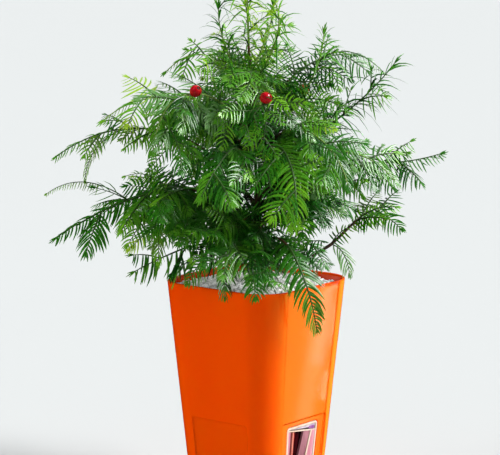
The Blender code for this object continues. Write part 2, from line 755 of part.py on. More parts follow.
def build_trunk(parts, cutters, finish):
    """The trunk, and a slightly fatter copy that cuts each bough's foot to fit it."""
    heights = [
        TRUNK_FOOT + (TRUNK_TIP - TRUNK_FOOT) * (step / (TRUNK_STATIONS - 1)) ** TRUNK_CROWDING
        for step in range(TRUNK_STATIONS)
    ]
    points = [trunk_point(h) for h in heights]
    radii = [trunk_radius(h) for h in heights]
    trunk = tube("trunk", points, radii, 2, parts, finish)
    for vert in trunk.data.vertices:
        if vert.co.z < TRUNK_FOOT + FLAT_CUT:
            vert.co.z = TRUNK_FOOT
    fat = tube("cutter_trunk", points, [r + CLEARANCE * 1.2 for r in radii], 2, cutters)
    fat.hide_render = True
    fat.display_type = "WIRE"
    return trunk, fat


def build_limb(grown, parts, fat_trunk, finishes):
    """The solids of one limb: its bough, and its foliage fused into one."""
    name = grown.limb.name
    made = []
    if grown.bough:
        last = len(grown.bough) - 1
        radii = [
            BOUGH_RADIUS + (BOUGH_TIP_RADIUS - BOUGH_RADIUS) * i / last for i in range(last + 1)
        ]
        bough = tube("bough_" + name, grown.bough, radii, 1, parts, finishes["bark"])
        cut(bough, fat_trunk)
        made.append(bough)
    solids = [s.solid(f"shoot_{name}_{i}", parts) for i, s in enumerate(grown.shoots)]
    body = solids[0]
    body.name = "foliage_" + name
    body.data.materials.append(finishes["green"])
    if not grown.bough and grown.limb.foot < TRUNK_TIP:
        cut(body, fat_trunk)
    fuse(body, solids[1:] + ([grown.berry] if grown.berry else []))
    made.append(body)
    return made


def build_plant(parts, cutters, finishes):
    """The trunk, the boughs and the masses of foliage, under an empty turned to the plant's own bearing."""
    turned = bpy.data.objects.new("plant", None)
    turned.rotation_euler.z = PLANT_TURN
    parts.objects.link(turned)
    trunk, fat = build_trunk(parts, cutters, finishes["bark"])
    placed = Clearance()
    heights = np.linspace(TRUNK_FOOT, TRUNK_TIP, 30)
    for low, high in zip(heights, heights[1:]):
        placed.add(trunk_point(low), trunk_point(high), trunk_radius(low), trunk_radius(high), 0)
    limbs = [GrownLimb(limb, number) for number, limb in enumerate(LIMBS)]
    for grown in limbs:
        if grown.bough:
            for a, b in zip(grown.bough, grown.bough[1:]):
                placed.add(a, b, BOUGH_RADIUS, BOUGH_RADIUS, grown.owner(99))
        grown.main.place_wood(placed)
    for grown in limbs:
        grown.grow_side_shoots(placed)
    place_berries(limbs, placed, parts)
    grow_needles(limbs, placed)
    made = [trunk]
    for grown in limbs:
        made += build_limb(grown, parts, fat, finishes)
    for obj in made:
        obj.parent = turned
    fat.parent = turned
    return limbs


def main():
    """Build the pot and the plant."""
    clear_scene()
    parts = new_collection("Potted Chinese yew")
    cutters = new_collection("Cutters")
    finishes = {
        "orange": material("Orange plastic", ORANGE, 0.18),
        "clear": material("Clear pink plastic", CLEAR_PINK, 0.05),
        "dark": material("Dark plastic", DARK_PLASTIC, 0.4),
        "peat": material("Peat", PEAT, 0.95),
        "stone": material("Pale gravel", PALE_STONE, 0.8),
        "bark": material("Bark", BARK, 0.85),
        "green": material("Needles", GREEN, 0.4),
    }
    build_pot(parts, cutters, finishes)
    build_plant(parts, cutters, finishes)


main()
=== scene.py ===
"""A young Chinese yew in a glossy orange self-watering pot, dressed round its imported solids.

Metres, +Z up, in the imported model's frame: the pot's faces look along X and Y and
its water window is in the face that looks along -Y. The plant is worked out in its
own frame, +X to the plant's right and +Y to its back, and turned as it is meshed.
"""

import logging
import math
import random
from dataclasses import dataclass, field, replace
from enum import Enum
from typing import Iterable, Optional, Sequence

import bmesh
import bpy
import numpy as np
from mathutils import Matrix, Vector, noise


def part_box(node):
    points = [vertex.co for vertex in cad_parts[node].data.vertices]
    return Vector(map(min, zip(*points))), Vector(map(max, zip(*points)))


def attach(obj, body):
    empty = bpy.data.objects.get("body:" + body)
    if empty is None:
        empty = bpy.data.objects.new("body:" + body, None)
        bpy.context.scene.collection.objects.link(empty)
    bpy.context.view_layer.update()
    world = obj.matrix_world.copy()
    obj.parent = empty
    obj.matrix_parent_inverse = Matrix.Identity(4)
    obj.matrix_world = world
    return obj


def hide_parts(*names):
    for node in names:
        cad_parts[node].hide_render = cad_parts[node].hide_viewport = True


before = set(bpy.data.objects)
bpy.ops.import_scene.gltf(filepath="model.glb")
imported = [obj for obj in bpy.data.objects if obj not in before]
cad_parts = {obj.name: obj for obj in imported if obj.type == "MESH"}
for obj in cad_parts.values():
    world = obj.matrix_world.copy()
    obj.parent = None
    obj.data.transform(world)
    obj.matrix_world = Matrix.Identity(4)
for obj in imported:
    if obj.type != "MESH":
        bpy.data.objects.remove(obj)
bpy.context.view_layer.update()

LOG = logging.getLogger("yew")

Colour = tuple[float, float, float]

PLANT_TURN = Matrix.Rotation(math.radians(-51.5), 4, "Z")


def paint(red: int, green: int, blue: int) -> Colour:
    """A linear colour from its everyday 0 to 255 values."""
    linear = []
    for level in (red, green, blue):
        share = level / 255
        linear.append(share / 12.92 if share <= 0.04045 else ((share + 0.055) / 1.055) ** 2.4)
    return (linear[0], linear[1], linear[2])


# ---------------------------------------------------------------- finishes


class Board:
    """One material's node board, with its Principled shader."""

    def __init__(self, name: str) -> None:
        """Start a material of this name."""
        self.material = bpy.data.materials.new(name)
        self.material.use_nodes = True
        self.tree = self.material.node_tree
        self.shader = self.tree.nodes["Principled BSDF"]

    def set(self, **sockets: object) -> None:
        """Set the shader's own sockets, with underscores for the spaces in their names.

        Args:
            sockets: each socket's name and its value.
        """
        for name, value in sockets.items():
            socket = self.shader.inputs[name.replace("_", " ")]
            socket.default_value = (*value, 1.0) if socket.type == "RGBA" else value

    def node(self, kind: str, **settings: object) -> bpy.types.Node:
        """Add a node.

        Args:
            kind: the node's type without its ShaderNode prefix.
            settings: properties of the node.

        Returns:
            The node.
        """
        made = self.tree.nodes.new("ShaderNode" + kind)
        for name, value in settings.items():
            setattr(made, name, value)
        return made

    def join(self, source: bpy.types.NodeSocket, target: bpy.types.NodeSocket) -> None:
        """Link two sockets."""
        self.tree.links.new(source, target)

    def place(self) -> bpy.types.NodeSocket:
        """The object's own coordinates, in metres."""
        return self.node("TexCoord").outputs["Object"]

    def grain(
        self, scale: float, detail: float = 4.0, rough: float = 0.55, stretch: Optional[Sequence[float]] = None
    ) -> bpy.types.NodeSocket:
        """A noise pattern.

        Args:
            scale: how many spots there are to a metre.
            detail: how many finer layers it has.
            rough: how strong they are.
            stretch: a factor for each axis, or none.

        Returns:
            The noise's strength, 0 to 1.
        """
        where = self.place()
        if stretch:
            mapping = self.node("Mapping")
            mapping.inputs["Scale"].default_value = stretch
            self.join(where, mapping.inputs["Vector"])
            where = mapping.outputs["Vector"]
        noisy = self.node("TexNoise")
        noisy.inputs["Scale"].default_value = scale
        noisy.inputs["Detail"].default_value = detail
        noisy.inputs["Roughness"].default_value = rough
        self.join(where, noisy.inputs["Vector"])
        return noisy.outputs["Fac"]

    def spread(
        self, share: bpy.types.NodeSocket, low: float, high: float, out_low: float, out_high: float
    ) -> bpy.types.NodeSocket:
        """A strength moved from one range to another.

        Args:
            share: the strength.
            low: the start of its range.
            high: the end of its range.
            out_low: what the start becomes.
            out_high: what the end becomes.

        Returns:
            The moved strength.
        """
        mapped = self.node("MapRange")
        for name, value in (("From Min", low), ("From Max", high), ("To Min", out_low), ("To Max", out_high)):
            mapped.inputs[name].default_value = value
        self.join(share, mapped.inputs["Value"])
        return mapped.outputs["Result"]

    def shades(
        self, share: bpy.types.NodeSocket, stops: Sequence[tuple[float, Colour]]
    ) -> bpy.types.NodeSocket:
        """A colour ramp.

        Args:
            share: what drives the ramp.
            stops: places on the ramp and their colours.

        Returns:
            The colour.
        """
        ramp = self.node("ValToRGB")
        points = ramp.color_ramp.elements
        while len(points) < len(stops):
            points.new(0.5)
        for point, (place, colour) in zip(points, stops):
            point.position = place
            point.color = (*colour, 1.0)
        self.join(share, ramp.inputs["Fac"])
        return ramp.outputs["Color"]

    def relief(
        self, height: bpy.types.NodeSocket, depth: float, strength: float = 1.0
    ) -> None:
        """Bump the surface.

        Args:
            height: the pattern that stands out.
            depth: its depth in metres.
            strength: how much of it shows.
        """
        bump = self.node("Bump")
        bump.inputs["Strength"].default_value = strength
        bump.inputs["Distance"].default_value = depth
        self.join(height, bump.inputs["Height"])
        self.join(bump.outputs["Normal"], self.shader.inputs["Normal"])


@dataclass(frozen=True)
class OrangePlastic:
    """Moulded glossy orange plastic with faint flow marks and a hint of dust."""

    deep: Colour = paint(238, 70, 0)
    light: Colour = paint(243, 78, 0)
    flow: float = 14.0

    def make(self) -> bpy.types.Material:
        """The finish as a material."""
        board = Board("orange_plastic")
        flow = board.grain(self.flow, 3.0, 0.5, (1.0, 1.0, 0.35))
        board.join(board.shades(flow, ((0.3, self.deep), (0.7, self.light))), board.shader.inputs["Base Color"])
        dust = board.grain(420.0, 6.0, 0.62)
        board.join(board.spread(dust, 0.35, 0.75, 0.05, 0.12), board.shader.inputs["Roughness"])
        board.relief(board.grain(900.0, 2.0, 0.5), 0.000008, 0.3)
        board.set(
            IOR=1.5, Specular_IOR_Level=0.35,
            Subsurface_Weight=0.4, Subsurface_Radius=(0.010, 0.0016, 0.0002), Subsurface_Scale=1.0,
        )
        return board.material


@dataclass(frozen=True)
class InsertPlastic:
    """The milky see-through plastic of the window's insert in one tint, streaked and finely scratched."""

    name: str
    deep: Colour
    pale: Colour
    clear: float = 0.25

    def make(self) -> bpy.types.Material:
        """The finish as a material."""
        board = Board("insert_" + self.name)
        streaks = board.grain(150.0, 3.0, 0.5, (1.0, 1.0, 0.2))
        board.join(board.shades(streaks, ((0.35, self.deep), (0.65, self.pale))), board.shader.inputs["Base Color"])
        worn = board.grain(300.0, 5.0, 0.6, (1.0, 1.0, 0.2))
        board.join(board.spread(worn, 0.3, 0.8, 0.08, 0.25), board.shader.inputs["Roughness"])
        board.relief(board.grain(60.0, 2.0, 0.5), 0.00008, 0.3)
        board.set(IOR=1.49, Transmission_Weight=self.clear, Specular_IOR_Level=0.3)
        return board.material


@dataclass(frozen=True)
class DarkPlastic:
    """Dark maroon plastic of the plate and its wick foot, finely textured."""

    def make(self) -> bpy.types.Material:
        """The finish as a material."""
        board = Board("dark_plastic")
        spots = board.grain(260.0, 5.0, 0.6)
        shade = board.shades(spots, ((0.3, paint(34, 10, 12)), (0.7, paint(58, 20, 20))))
        board.join(shade, board.shader.inputs["Base Color"])
        board.join(board.spread(spots, 0.2, 0.8, 0.28, 0.5), board.shader.inputs["Roughness"])
        board.relief(spots, 0.0001, 0.5)
        return board.material


@dataclass(frozen=True)
class Peat:
    """Moist peaty soil: dark crumbs with paler fibres."""

    def make(self) -> bpy.types.Material:
        """The finish as a material."""
        board = Board("peat")
        crumbs = board.grain(240.0, 8.0, 0.7)
        shade = board.shades(crumbs, ((0.25, paint(26, 17, 11)), (0.55, paint(58, 40, 26)), (0.8, paint(104, 80, 55))))
        board.join(shade, board.shader.inputs["Base Color"])
        board.relief(crumbs, 0.0012)
        board.set(Roughness=0.95)
        return board.material


@dataclass(frozen=True)
class GravelGapShade:
    """The bed between and under the stones, much darker than they are: painted shade in the gaps between the stones.
    """

    def make(self) -> bpy.types.Material:
        """The finish as a material."""
        board = Board("gravel_gap_shade")
        gap_shade = board.grain(900.0, 6.0, 0.65)
        shade = board.shades(gap_shade, ((0.3, paint(34, 34, 28)), (0.7, paint(92, 94, 86))))
        board.join(shade, board.shader.inputs["Base Color"])
        board.relief(gap_shade, 0.0006)
        board.set(Roughness=0.9)
        return board.material


@dataclass(frozen=True)
class PaleStone:
    """Washed white and grey gravel, each stone its own grey, with darker flecks."""

    name: str = "pale_stone"

    def make(self) -> bpy.types.Material:
        """The finish as a material."""
        board = Board(self.name)
        cells = board.node("TexVoronoi")
        cells.inputs["Scale"].default_value = 210.0
        board.join(board.place(), cells.inputs["Vector"])
        stone = board.spread(cells.outputs["Color"], 0.0, 1.0, 0.0, 1.0)
        base = board.shades(
            stone,
            ((0.0, paint(150, 152, 150)), (0.3, paint(206, 207, 203)), (0.6, paint(240, 241, 238)), (1.0, paint(252, 252, 250))),
        )
        flecks = board.shades(
            board.grain(1500.0, 4.0, 0.6), ((0.3, paint(150, 150, 148)), (0.5, paint(255, 255, 255)))
        )
        mixed = board.node("Mix", data_type="RGBA", blend_type="MULTIPLY")
        mixed.inputs["Factor"].default_value = 0.6
        board.join(base, mixed.inputs["A"])
        board.join(flecks, mixed.inputs["B"])
        board.join(mixed.outputs["Result"], board.shader.inputs["Base Color"])
        board.relief(board.grain(1100.0, 5.0, 0.6), 0.00025, 0.8)
        board.set(Roughness=0.72)
        return board.material


@dataclass(frozen=True)
class Bark:
    """Thin red-brown yew bark that flakes in upright strips."""

    name: str = "bark"
    deep: Colour = paint(34, 22, 17)
    middle: Colour = paint(74, 50, 38)
    pale: Colour = paint(126, 98, 76)

    def make(self) -> bpy.types.Material:
        """The finish as a material."""
        board = Board(self.name)
        strips = board.grain(360.0, 8.0, 0.65, (1.0, 1.0, 0.22))
        shade = board.shades(strips, ((0.28, self.deep), (0.52, self.middle), (0.78, self.pale)))
        board.join(shade, board.shader.inputs["Base Color"])
        board.relief(strips, 0.0007)
        board.set(Roughness=0.85)
        return board.material


class Tint(Enum):
    """The greens of the needles: each is a plain base colour, dealt out by spray; SILVER is a painted silvery sheen.
    """

    LIME = paint(146, 190, 40)
    BRIGHT = paint(98, 164, 24)
    FRESH = paint(68, 134, 20)
    LEAF = paint(37, 101, 14)
    DEEP = paint(18, 70, 10)
    SHADE = paint(9, 44, 6)
    # SILVER: a pale grey-green that paints the silvery sheen of glossy needles.
    SILVER = paint(96, 144, 80)
    OLIVE = paint(84, 126, 30)

    def fresher(self) -> "Tint":
        """The next paler green, for the tip of a spray."""
        return {
            Tint.LIME: Tint.LIME, Tint.BRIGHT: Tint.LIME, Tint.FRESH: Tint.BRIGHT, Tint.LEAF: Tint.FRESH,
            Tint.DEEP: Tint.LEAF, Tint.SHADE: Tint.DEEP, Tint.SILVER: Tint.SILVER, Tint.OLIVE: Tint.BRIGHT,
        }[self]

    def darker(self) -> "Tint":
        """The next deeper green, for a spray in the shade."""
        return {
            Tint.LIME: Tint.BRIGHT, Tint.BRIGHT: Tint.FRESH, Tint.FRESH: Tint.LEAF, Tint.LEAF: Tint.DEEP,
            Tint.DEEP: Tint.SHADE, Tint.SHADE: Tint.SHADE, Tint.SILVER: Tint.LEAF, Tint.OLIVE: Tint.LEAF,
        }[self]


@dataclass(frozen=True)
class NeedleGreen:
    """The waxy skin of a yew needle in one tint: glossy, finely streaked, a little light coming through."""

    tint: Tint

    def make(self) -> bpy.types.Material:
        """The finish as a material."""
        board = Board("needle_" + self.tint.name.lower())
        red, green, blue = self.tint.value
        streaks = board.grain(700.0, 3.0, 0.6)
        dark = (red * 0.78, green * 0.82, blue * 0.8)
        light = (min(red * 1.22, 1.0), min(green * 1.14, 1.0), min(blue * 1.1, 1.0))
        board.join(board.shades(streaks, ((0.3, dark), (0.7, light))), board.shader.inputs["Base Color"])
        board.join(board.spread(streaks, 0.3, 0.7, 0.24, 0.38), board.shader.inputs["Roughness"])
        board.relief(streaks, 0.00006, 0.4)
        board.set(
            Specular_IOR_Level=0.62,
            Subsurface_Weight=0.32, Subsurface_Radius=(0.0006, 0.0012, 0.0003), Subsurface_Scale=1.0,
        )
        return board.material


@dataclass(frozen=True)
class TwigSkin:
    """The skin of a young shoot, green with ridges that run down from each needle."""

    name: str
    deep: Colour
    pale: Colour

    def make(self) -> bpy.types.Material:
        """The finish as a material."""
        board = Board(self.name)
        ridges = board.grain(520.0, 5.0, 0.6)
        board.join(board.shades(ridges, ((0.3, self.deep), (0.7, self.pale))), board.shader.inputs["Base Color"])
        board.relief(ridges, 0.0002, 0.7)
        board.set(Roughness=0.55)
        return board.material


@dataclass(frozen=True)
class BerrySkin:
    """The red flesh of a ripe berry, waxy and a little translucent."""

    def make(self) -> bpy.types.Material:
        """The finish as a material."""
        board = Board("berry_skin")
        blush = board.grain(260.0, 3.0, 0.5)
        shade = board.shades(blush, ((0.3, paint(150, 4, 20)), (0.7, paint(200, 14, 30))))
        board.join(shade, board.shader.inputs["Base Color"])
        board.join(board.spread(blush, 0.3, 0.7, 0.16, 0.3), board.shader.inputs["Roughness"])
        board.relief(board.grain(1200.0, 2.0, 0.5), 0.00004, 0.4)
        board.set(
            Subsurface_Weight=0.2, Subsurface_Radius=(0.003, 0.0006, 0.0004), Subsurface_Scale=1.0,
            Coat_Weight=0.4, Coat_Roughness=0.1,
        )
        return board.material


@dataclass(frozen=True)
class StudioPaper:
    """Plain pale studio paper for the floor."""

    shade: Colour = paint(196, 199, 199)

    def make(self) -> bpy.types.Material:
        """The finish as a material."""
        board = Board("studio_paper")
        board.set(Base_Color=self.shade, Roughness=0.9, Specular_IOR_Level=0.1)
        return board.material


# ---------------------------------------------------------------- meshes


@dataclass
class Heap:
    """Corners and triangles gathered for one mesh, with a material number for each triangle."""

    corners: list[np.ndarray] = field(default_factory=list)
    triangles: list[np.ndarray] = field(default_factory=list)
    finishes: list[np.ndarray] = field(default_factory=list)
    count: int = 0

    def add(self, corners: np.ndarray, triangles: np.ndarray, finish: int = 0) -> None:
        """Add a shape.

        Args:
            corners: its corners, one a row.
            triangles: its faces, as rows of three corner numbers.
            finish: the number of its material.
        """
        self.corners.append(np.asarray(corners, float))
        self.triangles.append(np.asarray(triangles, int) + self.count)
        self.finishes.append(np.full(len(triangles), finish))
        self.count += len(corners)

    def mesh(
        self, name: str, finishes: Sequence[bpy.types.Material], sharp: float = 60.0, turn: Optional[Matrix] = None
    ) -> bpy.types.Object:
        """The heap as a smooth-shaded object.

        Args:
            name: the piece's name.
            finishes: its materials in the order of their numbers.
            sharp: the angle in degrees from which an edge stays sharp.
            turn: a matrix for the corners, or none.

        Returns:
            The object, linked to the scene.
        """
        corners = np.concatenate(self.corners)
        if turn:
            corners = corners @ np.array(turn.to_3x3()).T
        triangles = np.concatenate(self.triangles)
        mesh = bpy.data.meshes.new(name)
        mesh.vertices.add(len(corners))
        mesh.vertices.foreach_set("co", corners.astype(np.float32).ravel())
        mesh.loops.add(len(triangles) * 3)
        mesh.loops.foreach_set("vertex_index", triangles.astype(np.int32).ravel())
        mesh.polygons.add(len(triangles))
        mesh.polygons.foreach_set("loop_start", np.arange(0, len(triangles) * 3, 3, dtype=np.int32))
        mesh.polygons.foreach_set("material_index", np.concatenate(self.finishes).astype(np.int32))
        mesh.update(calc_edges=True)
        mesh.validate()
        return stand(name, mesh, finishes, sharp)


def stand(
    name: str, mesh: bpy.types.Mesh, finishes: Sequence[bpy.types.Material], sharp: float
) -> bpy.types.Object:
    """Link a mesh to the scene as a smooth-shaded piece.

    Args:
        name: the piece's name.
        mesh: its mesh.
        finishes: its materials.
        sharp: the angle in degrees from which an edge stays sharp.

    Returns:
        The object.
    """
    made = bpy.data.objects.new(name, mesh)
    bpy.context.scene.collection.objects.link(made)
    for finish in finishes:
        mesh.materials.append(finish)
    mesh.polygons.foreach_set("use_smooth", np.ones(len(mesh.polygons), bool))
    mesh.set_sharp_from_angle(angle=math.radians(sharp))
    return made


def keep(piece: bpy.types.Object, nodes: Iterable[str] = ()) -> bpy.types.Object:
    """Let a piece ride on the plant's one body, in place of the solids it stands for.

    Args:
        piece: the piece.
        nodes: the solids that it replaces.

    Returns:
        The piece.
    """
    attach(piece, "root")
    nodes = list(nodes)
    if nodes:
        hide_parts(*nodes)
    LOG.info("%s: %d faces, for %s", piece.name, len(piece.data.polygons), ", ".join(nodes) or "no solid")
    return piece


def band(rings: int, around: int) -> np.ndarray:
    """Triangles that join rings of corners, one after the other.

    Args:
        rings: how many rings there are.
        around: how many corners each ring has.

    Returns:
        The triangles, facing outwards where the rings run anticlockwise and upwards.
    """
    faces = []
    for ring in range(rings - 1):
        for step in range(around):
            a, b = ring * around + step, ring * around + (step + 1) % around
            faces += [(a, b, b + around), (a, b + around, a + around)]
    return np.array(faces)


def fillet(corners: Sequence[tuple[float, float]], radius: float, steps: int) -> list[tuple[float, float]]:
    """Round the corners of a flat convex outline.

    Args:
        corners: its corners in order.
        radius: the radius of each.
        steps: how many straight stretches stand for one.

    Returns:
        The rounded outline's points in the same order.
    """
    points = []
    for index, here in enumerate(corners):
        spot = Vector(here)
        back = (Vector(corners[index - 1]) - spot).normalized()
        ahead = (Vector(corners[(index + 1) % len(corners)]) - spot).normalized()
        half = back.angle(ahead) / 2
        centre = spot + (back + ahead).normalized() * radius / math.sin(half)
        start = spot + back * radius / math.tan(half) - centre
        sweep = math.pi - 2 * half
        turn = -1 if back.x * ahead.y - back.y * ahead.x > 0 else 1
        for step in range(steps + 1):
            angle = turn * sweep * step / steps
            c, s = math.cos(angle), math.sin(angle)
            points.append((centre.x + start.x * c - start.y * s, centre.y + start.x * s + start.y * c))
    return points


# ---------------------------------------------------------------- pot


@dataclass(frozen=True)
class Opening:
    """A trapezoid with round corners on a face of the pot, for a panel or the window."""

    foot: float
    top: float
    foot_width: float
    top_width: float
    corner: float

    def half(self, height: float) -> float:
        """Half its width at a height."""
        share = (height - self.foot) / (self.top - self.foot)
        return (self.foot_width + (self.top_width - self.foot_width) * share) / 2

    def distance(self, across: float, height: float) -> float:
        """How far a place on the face is outside the outline; less than nothing inside."""
        over = abs(across) - self.half(min(max(height, self.foot), self.top)) + self.corner
        beyond = max(height - self.top, self.foot - height) + self.corner
        return min(max(over, beyond), 0.0) + math.hypot(max(over, 0.0), max(beyond, 0.0)) - self.corner

    def outline(self, inset: float, steps: int = 6) -> list[tuple[float, float]]:
        """Its outline drawn in by an inset, anticlockwise as seen from outside."""
        low, high = self.foot + inset, self.top - inset
        wide, narrow = self.half(high) - inset, self.half(low) - inset
        corners = [(-narrow, low), (narrow, low), (wide, high), (-wide, high)]
        return fillet(corners, max(self.corner - inset, 0.0004), steps)


@dataclass
class Pot:
    """The orange shell: tapered, round-cornered, with a soft rim and a panel low on each face."""

    height: float = 0.200
    rim_side: float = 0.128
    foot_side: float = 0.093
    foot_corner: float = 0.021
    wall: float = 0.003
    rim_round: float = 0.0012
    foot_round: float = 0.0011
    panel_depth: float = 0.0012
    panel_lip: float = 0.0008
    window_lip: float = 0.0008
    panel: Opening = Opening(0.022, 0.081, 0.060, 0.063, 0.003)
    window: Opening = Opening(0.027, 0.0762, 0.0390, 0.0440, 0.0035)
    material: Optional[bpy.types.Material] = None

    def side_at(self, height: float) -> float:
        """The outer side at a height."""
        return self.foot_side + (self.rim_side - self.foot_side) * height / self.height

    def slant(self) -> float:
        """How far a face leans out for each metre of height."""
        return (self.rim_side - self.foot_side) / 2 / self.height

    def stations(self) -> list[tuple[float, float]]:
        """Where the columns stand on one face and the corner after it, as (share of the flat, corner share)."""
        shares = [-1 + 0.02 * step for step in range(21)]
        shares += [-0.58 + 0.0967 * step for step in range(13)]
        shares += [1 - 0.02 * step for step in range(20, -1, -1)]
        flat = [(share, 0.0) for share in sorted(set(round(s, 4) for s in shares))]
        arcs = [0.0125 * step for step in range(1, 13)]
        arcs += [0.15 + 0.0538 * step for step in range(1, 14)]
        arcs += [1 - 0.0125 * step for step in range(11, 0, -1)]
        return flat + [(1.0, share) for share in arcs]

    def ring(self, height: float, inset: float, pressed: bool) -> list[Vector]:
        """One ring of the shell.

        Args:
            height: its height.
            inset: how far it is drawn in from the outer face.
            pressed: whether the panels are pressed into it.

        Returns:
            Its points, anticlockwise from above.
        """
        side = self.side_at(height)
        corner = self.foot_corner * side / self.foot_side
        flat = side / 2 - corner
        radius = corner - inset
        points = []
        for turn in range(4):
            angle = turn * math.pi / 2
            c, s = math.cos(angle), math.sin(angle)
            for share, bend in self.stations():
                lean = bend * math.pi / 2
                x = flat * share + radius * math.sin(lean)
                y = -flat - radius * math.cos(lean)
                if pressed and (height < self.panel.top + 0.004):
                    y += self.press(x, height, turn == 0) * math.cos(lean)
                points.append(Vector((x * c - y * s, x * s + y * c, height)))
        return points

    def press(self, across: float, height: float, front: bool) -> float:
        """How deep the face is pressed in at a place on it."""
        apart = self.panel.distance(across, height) / self.panel_lip
        share = min(max(0.5 - apart / 2, 0.0), 1.0)
        depth = self.panel_depth * share * share * (3 - 2 * share)
        if front:
            near = self.window.distance(across, height)
            if near < self.window_lip:
                left = self.window_lip - max(near, 0.0)
                depth += self.window_lip - math.sqrt(max(self.window_lip**2 - left**2, 0.0))
        return depth

    def rows(self) -> list[tuple[float, float, bool]]:
        """The shell's rings from the middle of its underside, up outside, over the rim and down inside."""
        rows = [(0.0, inset, False) for inset in (0.0200, 0.0110, 0.0050, 0.0022)]
        for step in range(6):
            turn = step / 5 * math.pi / 2
            rows.append((self.foot_round * (1 - math.cos(turn)), self.foot_round * (1 - math.sin(turn)), False))
        heights = [0.0045, 0.0085, 0.0125, 0.0165, 0.0192]
        heights += [0.0197 + 0.0005 * step for step in range(25)]
        heights += [0.0317 + 0.0041 * step for step in range(1, 10)]
        heights += [0.0717 + 0.0005 * step for step in range(25)]
        heights += [0.0837 + 0.00574 * step for step in range(1, 20)]
        rows += [(height, 0.0, True) for height in heights]
        middle = self.height - self.rim_round
        for step in range(7):
            turn = step / 6 * math.pi / 2
            rows.append(
                (middle + self.rim_round * math.sin(turn), self.rim_round * (1 - math.cos(turn)), False)
            )
        for step in range(7):
            turn = step / 6 * math.pi / 2
            inset = self.wall - self.rim_round + self.rim_round * math.sin(turn)
            rows.append((middle + self.rim_round * math.cos(turn), inset, False))
        rows += [(middle - 0.0012 - 0.0122 * step, self.wall, False) for step in range(16)]
        rows += [(self.wall, self.wall + inset, False) for inset in (0.0012, 0.0060, 0.0150)]
        return rows

    def shell(self) -> bpy.types.Object:
        """Build the shell and cut its window opening."""
        heap = Heap()
        rings = [self.ring(*row) for row in self.rows()]
        around = len(rings[0])
        corners = [point for ring in rings for point in ring]
        faces = band(len(rings), around).tolist()
        corners += [Vector((0, 0, 0)), Vector((0, 0, self.wall))]
        last = (len(rings) - 1) * around
        for step in range(around):
            after = (step + 1) % around
            faces.append((len(corners) - 2, after, step))
            faces.append((last + step, last + after, len(corners) - 1))
        heap.add(np.array(corners), np.array(faces))
        shell = heap.mesh("pot_shell_smooth", [self.material], 50.0)
        cutter = self.plug()
        hole = shell.modifiers.new("opening", "BOOLEAN")
        hole.operation, hole.object, hole.solver = "DIFFERENCE", cutter, "EXACT"
        graph = bpy.context.evaluated_depsgraph_get()
        cut = bpy.data.meshes.new_from_object(shell.evaluated_get(graph))
        shell.modifiers.clear()
        shell.data = cut
        bpy.data.objects.remove(cutter, do_unlink=True)
        cut.polygons.foreach_set("use_smooth", np.ones(len(cut.polygons), bool))
        cut.set_sharp_from_angle(angle=math.radians(50))
        return keep(shell, ["pot_shell"])

    def on_face(self, across: float, height: float, depth: float) -> Vector:
        """A place in the front wall, so deep behind its outer face."""
        return Vector((across, -(self.foot_side / 2 + self.slant() * height) + depth, height))

    def plug(self) -> bpy.types.Object:
        """The block that cuts the window's opening."""
        outline = self.window.outline(0.0)
        corners = [self.on_face(x, z, -0.004) for x, z in outline]
        corners += [self.on_face(x, z, 0.008) for x, z in outline]
        heap = Heap()
        around = len(outline)
        faces = [tuple(reversed(face)) for face in band(2, around).tolist()]
        faces += [(0, step, step + 1) for step in range(1, around - 1)]
        faces += [(around, around + step + 1, around + step) for step in range(1, around - 1)]
        heap.add(np.array(corners), np.array(faces))
        plug = heap.mesh("plug", [])
        builder = bmesh.new()
        builder.from_mesh(plug.data)
        bmesh.ops.recalc_face_normals(builder, faces=builder.faces)
        builder.to_mesh(plug.data)
        builder.free()
        return plug


@dataclass(frozen=True)
class WindowPlate:
    """One flat part of the window's insert, given by its outline on the face and its two depths."""

    name: str
    corners: tuple[tuple[float, float], ...]
    front: float
    back: float
    finish: str


